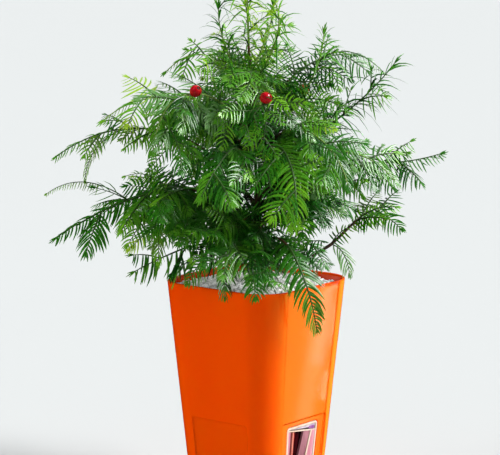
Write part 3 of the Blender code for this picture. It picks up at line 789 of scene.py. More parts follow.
@dataclass
class WaterWindow:
    """The pink insert in the front wall: a rounded frame, and in it a scoop with its ribs and flap."""

    pot: Pot
    finishes: dict[str, bpy.types.Material]
    clearance: float = 0.0003
    frame_width: float = 0.0020
    frame_depth: float = 0.0013
    edge_round: float = 0.0005
    back_depth: float = 0.0064
    foot: float = 0.0295

    PLATES = (
        WindowPlate("window_rib_pink", ((-0.0175, 0.0295), (-0.0140, 0.0295), (-0.0146, 0.0722), (-0.0182, 0.0722)),
                    0.0028, 0.0054, "pink"),
        # The salmon rib is a painted highlight: a pale streak down the dark plate beside it.
        WindowPlate("window_rib_salmon", ((-0.0112, 0.0295), (-0.0093, 0.0295), (-0.0094, 0.0716), (-0.0113, 0.0716)),
                    0.0030, 0.0054, "salmon_highlight"),
        WindowPlate("window_rib_red", ((-0.0093, 0.0295), (-0.0068, 0.0295), (-0.0062, 0.0714), (-0.0094, 0.0716)),
                    0.0044, 0.0054, "red"),
        # The mauve scoop and the pink side plate are pink plastic whose pale milky tone is partly a painted reflection
        # of the bright surroundings.
        WindowPlate("window_scoop", ((-0.0060, 0.0295), (0.0030, 0.0295), (0.0128, 0.0684), (0.0036, 0.0697)),
                    0.0024, 0.0046, "mauve"),
        # The cream edge and brim are partly a painted highlight, as the frame.
        WindowPlate("window_scoop_edge", ((0.0030, 0.0295), (0.0048, 0.0295), (0.0146, 0.0681), (0.0128, 0.0684)),
                    0.0015, 0.0046, "cream"),
        # Partly a painted reflection, as the scoop.
        WindowPlate("window_side", ((0.0048, 0.0295), (0.0163, 0.0295), (0.0194, 0.0676), (0.0146, 0.0681)),
                    0.0017, 0.0050, "pink"),
        WindowPlate("window_brim", ((-0.0186, 0.0722), (0.0192, 0.0672), (0.0196, 0.0684), (-0.0186, 0.0734)),
                    0.0020, 0.0054, "cream"),
        WindowPlate("window_flap", ((-0.0175, 0.0737), (0.0060, 0.0716), (0.0196, 0.0716), (0.0198, 0.0741),
                                    (-0.0180, 0.0741)), 0.0022, 0.0034, "lilac"),
        WindowPlate("window_hinge", ((0.0100, 0.0702), (0.0180, 0.0690), (0.0182, 0.0722), (0.0110, 0.0724)),
                    0.0018, 0.0030, "purple"),
    )

    def ring(self, name: str, profile: Sequence[tuple[float, float]]) -> bpy.types.Object:
        """A closed ring that follows the window's outline.

        Args:
            name: the piece's name.
            profile: its section as (inset from the opening, depth behind the face).

        Returns:
            The object.
        """
        rings = [
            [self.pot.on_face(x, z, depth) for x, z in self.pot.window.outline(inset)]
            for inset, depth in (*profile, profile[0])
        ]
        corners = np.array([point for ring in rings[:-1] for point in ring])
        heap = Heap()
        heap.add(corners, band(len(rings), len(rings[0])) % len(corners))
        return heap.mesh(name, [self.finishes["cream"]], 40.0)

    def plate(self, heap: Heap, outline: Sequence[tuple[float, float]], front: float, back: float) -> None:
        """Add a flat plate.

        Args:
            heap: where it goes.
            outline: its corners on the face, anticlockwise from outside.
            front: the depth of its front.
            back: the depth of its back.
        """
        around = len(outline)
        points = [self.pot.on_face(x, z, depth) for depth in (front, back) for x, z in outline]
        faces = [tuple(reversed(face)) for face in band(2, around).tolist()]
        faces += [(0, step, step + 1) for step in range(1, around - 1)]
        faces += [(around, around + step + 1, around + step) for step in range(1, around - 1)]
        heap.add(np.array(points), np.array(faces))

    def build(self) -> None:
        """Build and dress the frame, the back and the parts of the scoop."""
        start, inner = self.clearance, self.clearance + self.frame_width
        soft = self.edge_round
        profile = [
            (start, self.back_depth),
            (start, self.frame_depth + soft),
            (start + soft * 0.3, self.frame_depth + soft * 0.3),
            (start + soft, self.frame_depth),
            (inner - soft, self.frame_depth),
            (inner - soft * 0.3, self.frame_depth + soft * 0.3),
            (inner, self.frame_depth + soft),
            (inner, self.back_depth),
        ]
        # The frame's cream is partly a painted highlight along the clear plastic's edges.
        keep(self.ring("window_frame", profile), ["water_window"])
        heap = Heap()
        # A dark maroon plate behind the insert: painted shade for the reservoir's dark inside.
        self.plate(heap, self.pot.window.outline(inner - 0.0006), 0.0054, self.back_depth - 0.0002)
        keep(heap.mesh("window_back_shade", [self.finishes["maroon"]], 40.0), ["water_window"])
        for part in self.PLATES:
            heap = Heap()
            self.plate(heap, fillet(part.corners, 0.0004, 3), part.front, part.back)
            piece = heap.mesh(part.name, [self.finishes[part.finish]], 40.0)
            keep(piece, ["water_window"])


@dataclass
class GravelBed:
    """Pale gravel on the soil: a bed with small uneven stones heaped on it."""

    pot: Pot
    edge: float = 0.1935
    dome: float = 0.0030
    pitch: float = 0.0038
    smallest: float = 0.0014
    largest: float = 0.0027
    seed: int = 5
    material: Optional[bpy.types.Material] = None
    # The bed's dark finish: painted shade between the stones.
    gap_shade: Optional[bpy.types.Material] = None

    def level(self, x: float, y: float) -> float:
        """The bed's height at a place."""
        reach = min(math.hypot(x, y) / (self.pot.side_at(self.edge) / 2), 1.0)
        return self.edge + self.dome * math.sin((1 - reach) * math.pi / 2)

    def bed(self) -> bpy.types.Object:
        """The smooth bed under the stones, filling the pot from wall to wall, dark as painted shade between the
        stones.
        """
        rings = [self.pot.ring(self.edge - 0.010, self.pot.wall + 0.0004, False)]
        rings.append(self.pot.ring(self.edge - 0.0012, self.pot.wall + 0.0004, False))
        for share in (0.94, 0.8, 0.6, 0.4, 0.2):
            rings.append([
                Vector((p.x * share, p.y * share, self.level(p.x * share, p.y * share) - 0.0012))
                for p in rings[1]
            ])
        around = len(rings[0])
        corners = [point for ring in rings for point in ring]
        faces = band(len(rings), around).tolist()
        corners += [Vector((0, 0, rings[0][0].z)), Vector((0, 0, self.level(0, 0) - 0.0012))]
        last = (len(rings) - 1) * around
        for step in range(around):
            after = (step + 1) % around
            faces.append((len(corners) - 2, after, step))
            faces.append((last + step, last + after, len(corners) - 1))
        heap = Heap()
        heap.add(np.array(corners), np.array(faces))
        return keep(heap.mesh("gravel_bed", [self.gap_shade], 60.0), ["gravel"])

    def stones(self) -> bpy.types.Object:
        """The loose stones, joined: each is a knobbly ellipsoid turned its own way."""
        draw = random.Random(self.seed)
        builder = bmesh.new()
        bmesh.ops.create_icosphere(builder, subdivisions=1, radius=1.0)
        ball = np.array([v.co for v in builder.verts])
        faces = np.array([[v.index for v in f.verts] for f in builder.faces])
        builder.free()
        heap = Heap()
        half = self.pot.side_at(self.edge) / 2 - self.pot.wall
        corner = self.pot.foot_corner * self.pot.side_at(self.edge) / self.pot.foot_side - self.pot.wall
        count = int(2 * half / self.pitch)
        for row in range(count + 1):
            for column in range(count + 1):
                x = -half + (column + 0.5 * (row % 2)) * self.pitch + draw.uniform(-1, 1) * self.pitch * 0.3
                y = -half + row * self.pitch + draw.uniform(-1, 1) * self.pitch * 0.3
                size = draw.uniform(self.smallest, self.largest)
                over = math.hypot(max(abs(x) - half + corner, 0), max(abs(y) - half + corner, 0)) - corner
                if over > -size * 1.05 or math.hypot(x, y) < 0.006:
                    continue
                stretch = np.array([draw.uniform(0.75, 1.2), draw.uniform(0.75, 1.1), draw.uniform(0.55, 0.85)])
                knobs = np.array([draw.uniform(0.86, 1.12) for _ in ball])[:, None]
                turn = np.array(Matrix.Rotation(draw.uniform(0, math.tau), 3, Vector((
                    draw.uniform(-1, 1), draw.uniform(-1, 1), draw.uniform(-1, 1))).normalized()))
                rise = self.level(x, y) + size * draw.uniform(-0.25, 0.35)
                heap.add((ball * knobs * stretch * size) @ turn.T + np.array([x, y, rise]), faces)
        return keep(heap.mesh("gravel_stones", [self.material], 50.0), ["gravel"])


# ---------------------------------------------------------------- growth


class Mood(Enum):
    """How a limb's sprays are coloured: each deals its tints out by weight, from the foot to the tip."""

    GOLDEN = ((Tint.FRESH, 3), (Tint.BRIGHT, 6), (Tint.LIME, 3))
    BRIGHT = ((Tint.LEAF, 3), (Tint.FRESH, 4), (Tint.BRIGHT, 5), (Tint.LIME, 1))
    FRESH = ((Tint.LEAF, 5), (Tint.FRESH, 5), (Tint.BRIGHT, 2))
    PLAIN = ((Tint.DEEP, 4), (Tint.LEAF, 6), (Tint.FRESH, 3))
    OLIVE = ((Tint.LEAF, 6), (Tint.OLIVE, 2), (Tint.FRESH, 4), (Tint.BRIGHT, 1))
    DEEP = ((Tint.SHADE, 2), (Tint.DEEP, 6), (Tint.LEAF, 3))
    # SILVERY deals out SILVER, a painted sheen.
    SILVERY = ((Tint.LEAF, 5), (Tint.FRESH, 3), (Tint.SILVER, 2))
    # INNER is painted shade: the dark greens of the shoots inside the crown.
    INNER = ((Tint.SHADE, 5), (Tint.DEEP, 5), (Tint.LEAF, 2))


class Region(Enum):
    """The parts of the crown whose needles, and whose twigs, are joined into one piece each."""

    LEFT = "left"
    RIGHT = "right"
    FRONT = "front"
    CROWN = "crown"
    BACK = "back"
    INNER_LOW = "inner_low"
    INNER_HIGH = "inner_high"


@dataclass(frozen=True)
class Habit:
    """How a shoot carries its needles.

    They hang down by a share of their length, and clasp the twig the more the nearer
    this is to 1. Their width, their length and the gaps between them have a factor
    each. The first stretch of the twig may be bare, and from a share of the way on
    they may be short and thin.
    """

    hang: float = 0.0
    clasp: float = 0.0
    slim: float = 1.0
    short: float = 1.0
    sparse: float = 1.0
    bare: float = 0.0
    thin_from: float = 1.0
    tints: Optional[tuple[Tint, Tint]] = None


@dataclass(frozen=True)
class LimbPlan:
    """One limb of the plant: it arches from the trunk to its elbow and on to its tip.

    Bearings are in degrees round the trunk, 0 to the plant's right and 90 to its
    back. The first stretch, a share of the way to the elbow, is a bare bough.
    """

    name: str
    foot: float
    bearing: float
    elbow_reach: float
    elbow_height: float
    bow: float
    tip_reach: float
    tip_height: float
    swing: float = 0.0
    sides: int = 5
    side_length: float = 0.050
    radial: bool = False
    needle: float = 1.0
    bare: float = 0.42
    region: Region = Region.LEFT
    mood: Mood = Mood.PLAIN
    fine: float = 0.6
    tufts: float = 0.5
    habit: Habit = Habit()


L, R, F, C, B = Region.LEFT, Region.RIGHT, Region.FRONT, Region.CROWN, Region.BACK
TRUNK_TIP = 0.398

LIMBS: tuple[LimbPlan, ...] = (
    LimbPlan("left_low", 0.222, 188, 0.081, 0.281, 0.020, 0.183, 0.236, 2, 6, 0.056, region=L, mood=Mood.OLIVE,
             fine=0.7, habit=Habit(hang=0.4, slim=1.15)),
    LimbPlan("left_mid", 0.262, 180, 0.076, 0.329, 0.012, 0.181, 0.303, 0, 5, 0.048, needle=0.85, region=L,
             mood=Mood.OLIVE, fine=0.3, habit=Habit(hang=0.35, short=0.85, tints=(Tint.OLIVE, Tint.FRESH))),
    LimbPlan("left_high", 0.300, 192, 0.064, 0.358, 0.010, 0.141, 0.337, 0, 6, 0.048, region=L, mood=Mood.BRIGHT,
             fine=0.6, habit=Habit(hang=0.3, slim=0.85, thin_from=0.66)),
    LimbPlan("left_front", 0.318, 215, 0.060, 0.366, 0.010, 0.1137, 0.312, 4, 5, 0.044, region=L,
             mood=Mood.SILVERY, fine=0.4, habit=Habit(hang=0.25, clasp=0.35, slim=0.9)),
    LimbPlan("left_bottom", 0.2135, 196, 0.069, 0.2285, 0.010, 0.118, 0.207, 0, 3, 0.036, region=L,
             mood=Mood.PLAIN, fine=0.0, tufts=0, habit=Habit(hang=2.6, slim=1.1, short=1.0, sparse=2.9)),
    LimbPlan("left_inner", 0.2475, 208, 0.042, 0.268, 0.006, 0.112, 0.246, 0, 6, 0.046, bare=0, region=L,
             mood=Mood.PLAIN, fine=1, tufts=1),
    LimbPlan("right_low", 0.212, 352, 0.083, 0.2485, -0.014, 0.131, 0.264, 4, 4, 0.038, bare=1, region=R,
             mood=Mood.OLIVE, fine=0.5, tufts=0, habit=Habit(hang=0.25, short=0.72, slim=1.0, sparse=0.85)),
    LimbPlan("right_mid", 0.262, 5, 0.088, 0.302, 0.012, 0.170, 0.311, 0, 6, 0.044, needle=0.85, region=R,
             mood=Mood.PLAIN, fine=0.3, tufts=0.3, habit=Habit(hang=0.8, slim=1.0, short=1.0)),
    LimbPlan("right_drop", 0.271, 350, 0.066, 0.314, 0.010, 0.127, 0.281, 2, 6, 0.046, region=R,
             mood=Mood.SILVERY, fine=0.5, habit=Habit(hang=0.3, clasp=0.2, slim=0.9)),
    LimbPlan("right_high", 0.290, 3, 0.066, 0.337, 0.0, 0.1262, 0.397, 0, 5, 0.038, True, bare=0.6, region=R,
             mood=Mood.PLAIN, fine=0.25, tufts=0.2, habit=Habit(slim=0.68, sparse=1.5)),
    LimbPlan("right_arch", 0.335, 32, 0.060, 0.388, 0.008, 0.121, 0.386, -5, 5, 0.042, region=R,
             mood=Mood.PLAIN, fine=0.15, tufts=0.2, habit=Habit(hang=0.35, slim=0.85, short=0.8)),
    LimbPlan("right_top", 0.320, 22, 0.038, 0.352, -0.004, 0.066, 0.4225, 3, 4, 0.034, True, bare=0.6, region=R,
             mood=Mood.BRIGHT, fine=0.45, habit=Habit(slim=0.7)),
    LimbPlan("right_front", 0.302, 318, 0.062, 0.334, 0.014, 0.107, 0.283, 0, 5, 0.044, region=R,
             mood=Mood.SILVERY, fine=0.3, habit=Habit(hang=0.3, clasp=0.25)),
    LimbPlan("front_bright", 0.291, 291, 0.0765, 0.313, 0.020, 0.1067, 0.2527, -6, 4, 0.046, region=F,
             mood=Mood.FRESH, fine=0.1, tufts=0.3, habit=Habit(hang=0.1, tints=(Tint.FRESH, Tint.BRIGHT))),
    LimbPlan("front_left", 0.279, 246, 0.060, 0.318, 0.016, 0.103, 0.276, -5, 4, 0.046, region=F,
             mood=Mood.PLAIN, fine=0.3, tufts=0.4, habit=Habit(hang=0.25, clasp=0.15, tints=(Tint.LEAF, Tint.FRESH))),
    LimbPlan("front_low", 0.2400, 250, 0.052, 0.246, 0.014, 0.0946, 0.212, 2, 4, 0.038, region=F,
             mood=Mood.PLAIN, fine=0.8, tufts=0.8, habit=Habit(hang=0.25, slim=1.05)),
    LimbPlan("front_low_right", 0.2280, 276, 0.046, 0.242, 0.014, 0.0950, 0.207, 2, 3, 0.036, region=F,
             mood=Mood.PLAIN, fine=0.8, tufts=0.8, habit=Habit(hang=0.25, slim=1.05)),
    LimbPlan("front_spill", 0.2215, 296, 0.080, 0.226, 0.018, 0.0800, 0.1605, 15, 1, 0.034, region=F,
             mood=Mood.DEEP, fine=0.1, tufts=0.1, habit=Habit(hang=0.3, slim=1.1, tints=(Tint.LEAF, Tint.OLIVE))),
    LimbPlan("front_inner", 0.251, 310, 0.040, 0.282, 0.008, 0.088, 0.252, 8, 5, 0.040, bare=0, region=F,
             mood=Mood.PLAIN, fine=1, tufts=1),
    LimbPlan("crown_top", TRUNK_TIP, 180, 0.0078, 0.438, 0.0, 0.0100, 0.482, 0, 5, 0.024, True, bare=0, region=C,
             mood=Mood.GOLDEN, fine=0.15, tufts=0.25, habit=Habit(slim=0.66)),
    LimbPlan("crown_front", 0.370, 262, 0.030, 0.385, 0.004, 0.064, 0.357, -3, 4, 0.036, bare=0, region=C,
             mood=Mood.FRESH, fine=0.5, tufts=1,
             habit=Habit(short=0.8, slim=0.9, tints=(Tint.FRESH, Tint.BRIGHT))),
    LimbPlan("crown_left", 0.362, 162, 0.027, 0.400, -0.005, 0.034, 0.446, 0, 5, 0.019, True, bare=0, region=C,
             mood=Mood.BRIGHT, fine=0.15, tufts=0.25, habit=Habit(slim=0.66)),
    LimbPlan("crown_right", 0.374, 338, 0.0165, 0.405, -0.005, 0.0130, 0.459, -40, 4, 0.021, True, bare=0,
             region=C, mood=Mood.GOLDEN, fine=0.0, tufts=0.1, habit=Habit(slim=0.66, sparse=1.3)),
    LimbPlan("crown_back", 0.384, 62, 0.020, 0.412, -0.003, 0.032, 0.447, 0, 4, 0.026, True, bare=0, region=C,
             mood=Mood.BRIGHT, fine=0.1, tufts=0.2, habit=Habit(slim=0.6, sparse=1.4)),
    LimbPlan("left_crest", 0.352, 188, 0.034, 0.390, 0.002, 0.085, 0.376, -4, 6, 0.028, bare=0, region=C,
             mood=Mood.BRIGHT, fine=0.4, tufts=0.5, habit=Habit(hang=0.3, short=0.8, thin_from=0.5)),
    LimbPlan("back_left_low", 0.232, 140, 0.062, 0.264, 0.012, 0.138, 0.240, 0, 5, 0.050, region=B,
             mood=Mood.PLAIN, fine=1),
    LimbPlan("back_right_low", 0.2405, 46, 0.062, 0.270, 0.012, 0.136, 0.252, 0, 6, 0.050, region=B,
             mood=Mood.PLAIN, fine=1),
    LimbPlan("back_middle", 0.268, 92, 0.062, 0.318, 0.012, 0.140, 0.292, 0, 5, 0.050, region=B,
             mood=Mood.PLAIN, fine=1),
    LimbPlan("back_left", 0.290, 132, 0.060, 0.346, 0.010, 0.126, 0.332, 0, 6, 0.046, region=B,
             mood=Mood.FRESH, fine=1),
    LimbPlan("back_right", 0.306, 66, 0.056, 0.356, 0.010, 0.118, 0.348, 0, 5, 0.046, region=B,
             mood=Mood.BRIGHT, fine=1),
    LimbPlan("back_high", 0.345, 106, 0.034, 0.382, 0.003, 0.086, 0.374, 0, 6, 0.042, bare=0, region=B,
             mood=Mood.BRIGHT, fine=1),
)


@dataclass(frozen=True)
class Whip:
    """A thin outer twig that springs from a limb and arches away on its own, under the sky."""

    limb: str
    foot: tuple[float, float, float]
    over: tuple[float, float, float]
    tip: tuple[float, float, float]
    needle: float
    habit: Habit


WHIPS: tuple[Whip, ...] = (
    Whip("left_mid", (-0.1150, 0.0, 0.3279), (-0.1484, 0.003, 0.3177), (-0.1503, 0.005, 0.2861), 0.42,
         Habit(clasp=0.75, slim=0.6, sparse=0.8, tints=(Tint.OLIVE, Tint.BRIGHT))),
    Whip("left_low", (-0.1120, -0.018, 0.2671), (-0.1508, -0.012, 0.3000), (-0.1823, -0.012, 0.2769), 0.36,
         Habit(hang=1.0, slim=0.6, sparse=0.7, bare=0.4, tints=(Tint.OLIVE, Tint.BRIGHT))),
    Whip("left_low", (-0.1080, -0.018, 0.2671), (-0.1250, -0.020, 0.2800), (-0.1390, -0.020, 0.2830), 1.0,
         Habit(clasp=0.6, slim=0.45, sparse=1.6, bare=0.4, tints=(Tint.LEAF, Tint.LEAF))),
    Whip("left_low", (-0.0900, -0.030, 0.2700), (-0.0960, -0.040, 0.2600), (-0.1100, -0.045, 0.2380), 0.9,
         Habit(hang=0.2, tints=(Tint.FRESH, Tint.BRIGHT))),
    Whip("front_low", (-0.0294, -0.060, 0.2352), (-0.0438, -0.064, 0.2338), (-0.0640, -0.054, 0.2234), 1.0,
         Habit(hang=1.7, slim=0.95, sparse=2.0, tints=(Tint.DEEP, Tint.DEEP))),
    Whip("front_low_right", (-0.0096, -0.086, 0.2242), (-0.0010, -0.097, 0.2234), (0.0117, -0.096, 0.2209), 0.95,
         Habit(hang=1.6, slim=0.95, sparse=2.2, tints=(Tint.DEEP, Tint.LEAF))),
    Whip("left_low", (-0.0760, -0.030, 0.2900), (-0.0922, -0.034, 0.3030), (-0.1120, -0.034, 0.2953), 0.55,
         Habit(hang=0.3, slim=0.7, tints=(Tint.FRESH, Tint.BRIGHT))),
    Whip("left_low", (-0.0740, -0.040, 0.2560), (-0.0890, -0.048, 0.2540), (-0.1080, -0.050, 0.2350), 0.8,
         Habit(hang=0.3, slim=0.9, tints=(Tint.FRESH, Tint.LIME))),
    Whip("crown_front", (0.0082, -0.056, 0.3597), (-0.0003, -0.064, 0.3553), (-0.0114, -0.068, 0.3385), 0.62,
         Habit(hang=0.2, slim=0.9, tints=(Tint.LEAF, Tint.FRESH))),
    Whip("crown_front", (0.0082, -0.056, 0.3562), (0.0099, -0.066, 0.3452), (0.0048, -0.070, 0.3267), 0.62,
         Habit(hang=0.2, slim=0.9, tints=(Tint.LEAF, Tint.FRESH))),
    Whip("crown_front", (0.0134, -0.054, 0.3595), (0.0235, -0.062, 0.3551), (0.0337, -0.066, 0.3417), 0.62,
         Habit(hang=0.2, slim=0.9, tints=(Tint.DEEP, Tint.LEAF))),
    Whip("crown_front", (-0.0055, -0.052, 0.3558), (-0.0174, -0.060, 0.3532), (-0.0293, -0.062, 0.3413), 0.62,
         Habit(hang=0.2, slim=0.9, tints=(Tint.LEAF, Tint.FRESH))),
    Whip("crown_front", (0.0245, -0.050, 0.3486), (0.0373, -0.058, 0.3443), (0.0475, -0.060, 0.3306), 0.62,
         Habit(hang=0.2, slim=0.9, tints=(Tint.LEAF, Tint.FRESH))),
    Whip("right_top", (0.0530, 0.030, 0.3900), (0.0800, 0.034, 0.4100), (0.1120, 0.030, 0.3790), 0.5,
         Habit(hang=0.5, slim=0.6, sparse=0.8, tints=(Tint.LEAF, Tint.FRESH))),
    # This whip's SILVER tint is a painted sheen.
    Whip("right_low", (0.0740, -0.012, 0.2390), (0.0780, -0.016, 0.2300), (0.0810, -0.018, 0.2080), 0.7,
         Habit(hang=0.4, clasp=0.4, slim=0.8, tints=(Tint.SILVER, Tint.SILVER))),
    Whip("right_low", (0.0400, -0.010, 0.2190), (0.0500, -0.016, 0.2215), (0.0624, -0.018, 0.2170), 0.75,
         Habit(hang=1.2, slim=0.9, sparse=1.7, tints=(Tint.DEEP, Tint.LEAF))),
    Whip("right_low", (0.0640, -0.010, 0.2300), (0.0700, -0.012, 0.2440), (0.0860, -0.012, 0.2500), 0.55,
         Habit(hang=0.3, tints=(Tint.OLIVE, Tint.BRIGHT))),
)

BERRIES: tuple[tuple[str, Vector], ...] = (
    ("left_front", Vector((-0.0452, -0.048, 0.3765))),
    ("crown_front", Vector((0.0120, -0.057, 0.3640))),
    ("back_right", Vector((0.055, 0.085, 0.366))),
)


# How far the close-grown heart of the crown reaches at a height: (height, to the left, to the right)
CROWN_EDGE: tuple[tuple[float, float, float], ...] = (
    (0.198, -0.078, 0.054), (0.225, -0.100, 0.064), (0.248, -0.112, 0.068), (0.270, -0.112, 0.082),
    (0.292, -0.107, 0.094), (0.315, -0.104, 0.104), (0.337, -0.094, 0.100), (0.359, -0.074, 0.088),
    (0.382, -0.056, 0.062), (0.392, -0.050, 0.034), (0.404, -0.045, 0.030), (0.449, -0.037, 0.026),
)


def bend(start: Vector, control: Vector, end: Vector, share: float) -> Vector:
    """A point on a quadratic curve."""
    rest = 1 - share
    return start * rest * rest + control * 2 * rest * share + end * share * share


def arc(start: Vector, control: Vector, end: Vector, steps: int = 40) -> list[Vector]:
    """A quadratic curve as a fine polyline."""
    return [bend(start, control, end, step / steps) for step in range(steps + 1)]


def span(points: Sequence[Vector]) -> float:
    """The length of a polyline."""
    return sum((after - before).length for before, after in zip(points, points[1:]))


def walk(fine: Sequence[Vector], first: float, last: float, pitch: float) -> list[Vector]:
    """Points about a pitch apart along a polyline.

    Args:
        fine: the polyline.
        first: where they start, as a length from its start.
        last: where they end.
        pitch: about how far apart they are.

    Returns:
        The points.
    """
    lengths = [0.0]
    for before, after in zip(fine, fine[1:]):
        lengths.append(lengths[-1] + (after - before).length)
    last = min(last, lengths[-1])
    count = max(2, round((last - first) / pitch))
    points = []
    for step in range(count + 1):
        wanted = first + (last - first) * step / count
        index = 0
        while index < len(fine) - 2 and lengths[index + 1] < wanted:
            index += 1
        share = (wanted - lengths[index]) / (lengths[index + 1] - lengths[index])
        points.append(fine[index].lerp(fine[index + 1], share))
    return points


def polar(bearing: float, reach: float, height: float) -> Vector:
    """A place by its bearing in degrees, reach and height."""
    angle = math.radians(bearing)
    return Vector((reach * math.cos(angle), reach * math.sin(angle), height))


class Room:
    """Every stretch of wood that is already placed, to keep new ones clear of."""

    def __init__(self) -> None:
        """Start with nothing placed."""
        self.stretches: list[tuple[float, ...]] = []
        self.packed: Optional[np.ndarray] = None

    def add(self, start: Vector, end: Vector, first: float, last: float, owner: int) -> None:
        """Note a stretch that tapers from one radius to another.

        Args:
            start: its start.
            end: its end.
            first: its radius at the start.
            last: its radius at the end.
            owner: the number of the shoot that it is part of.
        """
        self.stretches.append((*start, *end, first, last, owner))
        self.packed = None

    def gap(self, start: Vector, end: Vector, first: float, last: float, leave_out: Optional[int] = None) -> float:
        """The least gap from a new stretch to those placed.

        Args:
            start: its start.
            end: its end.
            first: its radius at the start.
            last: its radius at the end.
            leave_out: an owner that isn't looked at, or none.

        Returns:
            The gap; less than nothing where they would overlap.
        """
        if self.packed is None:
            self.packed = np.array(self.stretches)
        near = self.packed[self.packed[:, 8] != leave_out]
        share, other, distance = closest(np.array(start), np.array(end), near[:, 0:3], near[:, 3:6])
        mine = first + (last - first) * share
        theirs = near[:, 6] + (near[:, 7] - near[:, 6]) * other
        return float((distance - mine - theirs).min())


def closest(
    a: np.ndarray, b: np.ndarray, p: np.ndarray, q: np.ndarray
) -> tuple[np.ndarray, np.ndarray, np.ndarray]:
    """Where the segment ab comes nearest to each segment pq.

    Args:
        a: the segment's start.
        b: its end.
        p: the others' starts.
        q: their ends.

    Returns:
        The shares of their lengths, and how near they come.
    """
    along, others, apart = b - a, q - p, a - p
    mine = float(along @ along)
    theirs = np.einsum("ij,ij->i", others, others)
    cross = others @ along
    back = apart @ along
    out = np.einsum("ij,ij->i", others, apart)
    area = np.maximum(mine * theirs - cross * cross, 1e-20)
    share = np.clip((cross * out - back * theirs) / area, 0, 1)
    other = np.clip((cross * share + out) / theirs, 0, 1)
    share = np.clip((cross * other - back) / mine, 0, 1)
    distance = np.linalg.norm((a + share[:, None] * along) - (p + other[:, None] * others), axis=1)
    return share, other, distance


@dataclass
class Stem:
    """The trunk: one tapering stem with its root flare, lean and bow."""

    foot: float = 0.1982
    tip: float = TRUNK_TIP
    radius: float = 0.0046
    tip_radius: float = 0.0015
    flare_radius: float = 0.0078
    flare_height: float = 0.006
    taper: float = 0.85
    lean: float = -0.0065
    bow: float = 0.004
    around: int = 28
    rings: int = 150
    relief: float = 0.00042
    material: Optional[bpy.types.Material] = None

    def point(self, height: float) -> Vector:
        """The centre at a height."""
        share = (height - self.foot) / (self.tip - self.foot)
        sway = self.bow * math.sin(math.pi * share)
        return Vector((self.lean * share + sway, -sway / 2, height))

    def thickness(self, height: float) -> float:
        """The radius at a height: a long taper on a short root flare."""
        share = (height - self.foot) / (self.tip - self.foot)
        straight = self.radius + (self.tip_radius - self.radius) * share**self.taper
        return straight + (self.flare_radius - self.radius) * math.exp(-(height - self.foot) / self.flare_height)

    def build(self) -> bpy.types.Object:
        """Build the trunk with its bark's relief."""
        heights = [self.foot + (self.tip - self.foot) * step / self.rings for step in range(self.rings + 1)]
        heap = Heap()
        add_barked(
            heap, [self.point(h) for h in heights], [self.thickness(h) for h in heights], self.around, self.relief, 3.0
        )
        trunk = heap.mesh("bark_trunk", [self.material], 70.0, PLANT_TURN)
        return keep(trunk, ["trunk"])


def add_barked(
    heap: Heap, points: Sequence[Vector], radii: Sequence[float], around: int, relief: float, seed: float
) -> None:
    """Add a closed tube with bark that stands out in flaking strips.

    Args:
        heap: where it goes.
        points: its centre line.
        radii: its radius at each point.
        around: how many corners its rings have.
        relief: how deep the bark's relief is.
        seed: a number that sets this limb's bark apart.
    """
    normal = Vector((0, -1, 0.2))
    corners: list[Vector] = []
    run = 0.0
    for index, (point, radius) in enumerate(zip(points, radii)):
        ahead = (points[min(index + 1, len(points) - 1)] - points[max(index - 1, 0)]).normalized()
        normal = (normal - ahead * normal.dot(ahead)).normalized()
        side = ahead.cross(normal)
        if index:
            run += (point - points[index - 1]).length
        for step in range(around):
            turn = math.tau * step / around
            outward = normal * math.cos(turn) + side * math.sin(turn)
            spot = Vector((math.cos(turn) * 1.9 + seed, math.sin(turn) * 1.9, run * 95))
            strip = noise.noise(spot) + 0.5 * noise.noise(spot * 2.7) + 0.3 * abs(noise.noise(spot * 6.1))
            corners.append(point + outward * (radius - relief * 0.9 + relief * max(-1.0, min(strip, 0.9))))
    faces = band(len(points), around).tolist()
    corners += [points[0], points[-1]]
    last = (len(points) - 1) * around
    for step in range(around):
        after = (step + 1) % around
        faces.append((len(corners) - 2, after, step))
        faces.append((last + step, last + after, len(corners) - 1))
    heap.add(np.array(corners), np.array(faces))


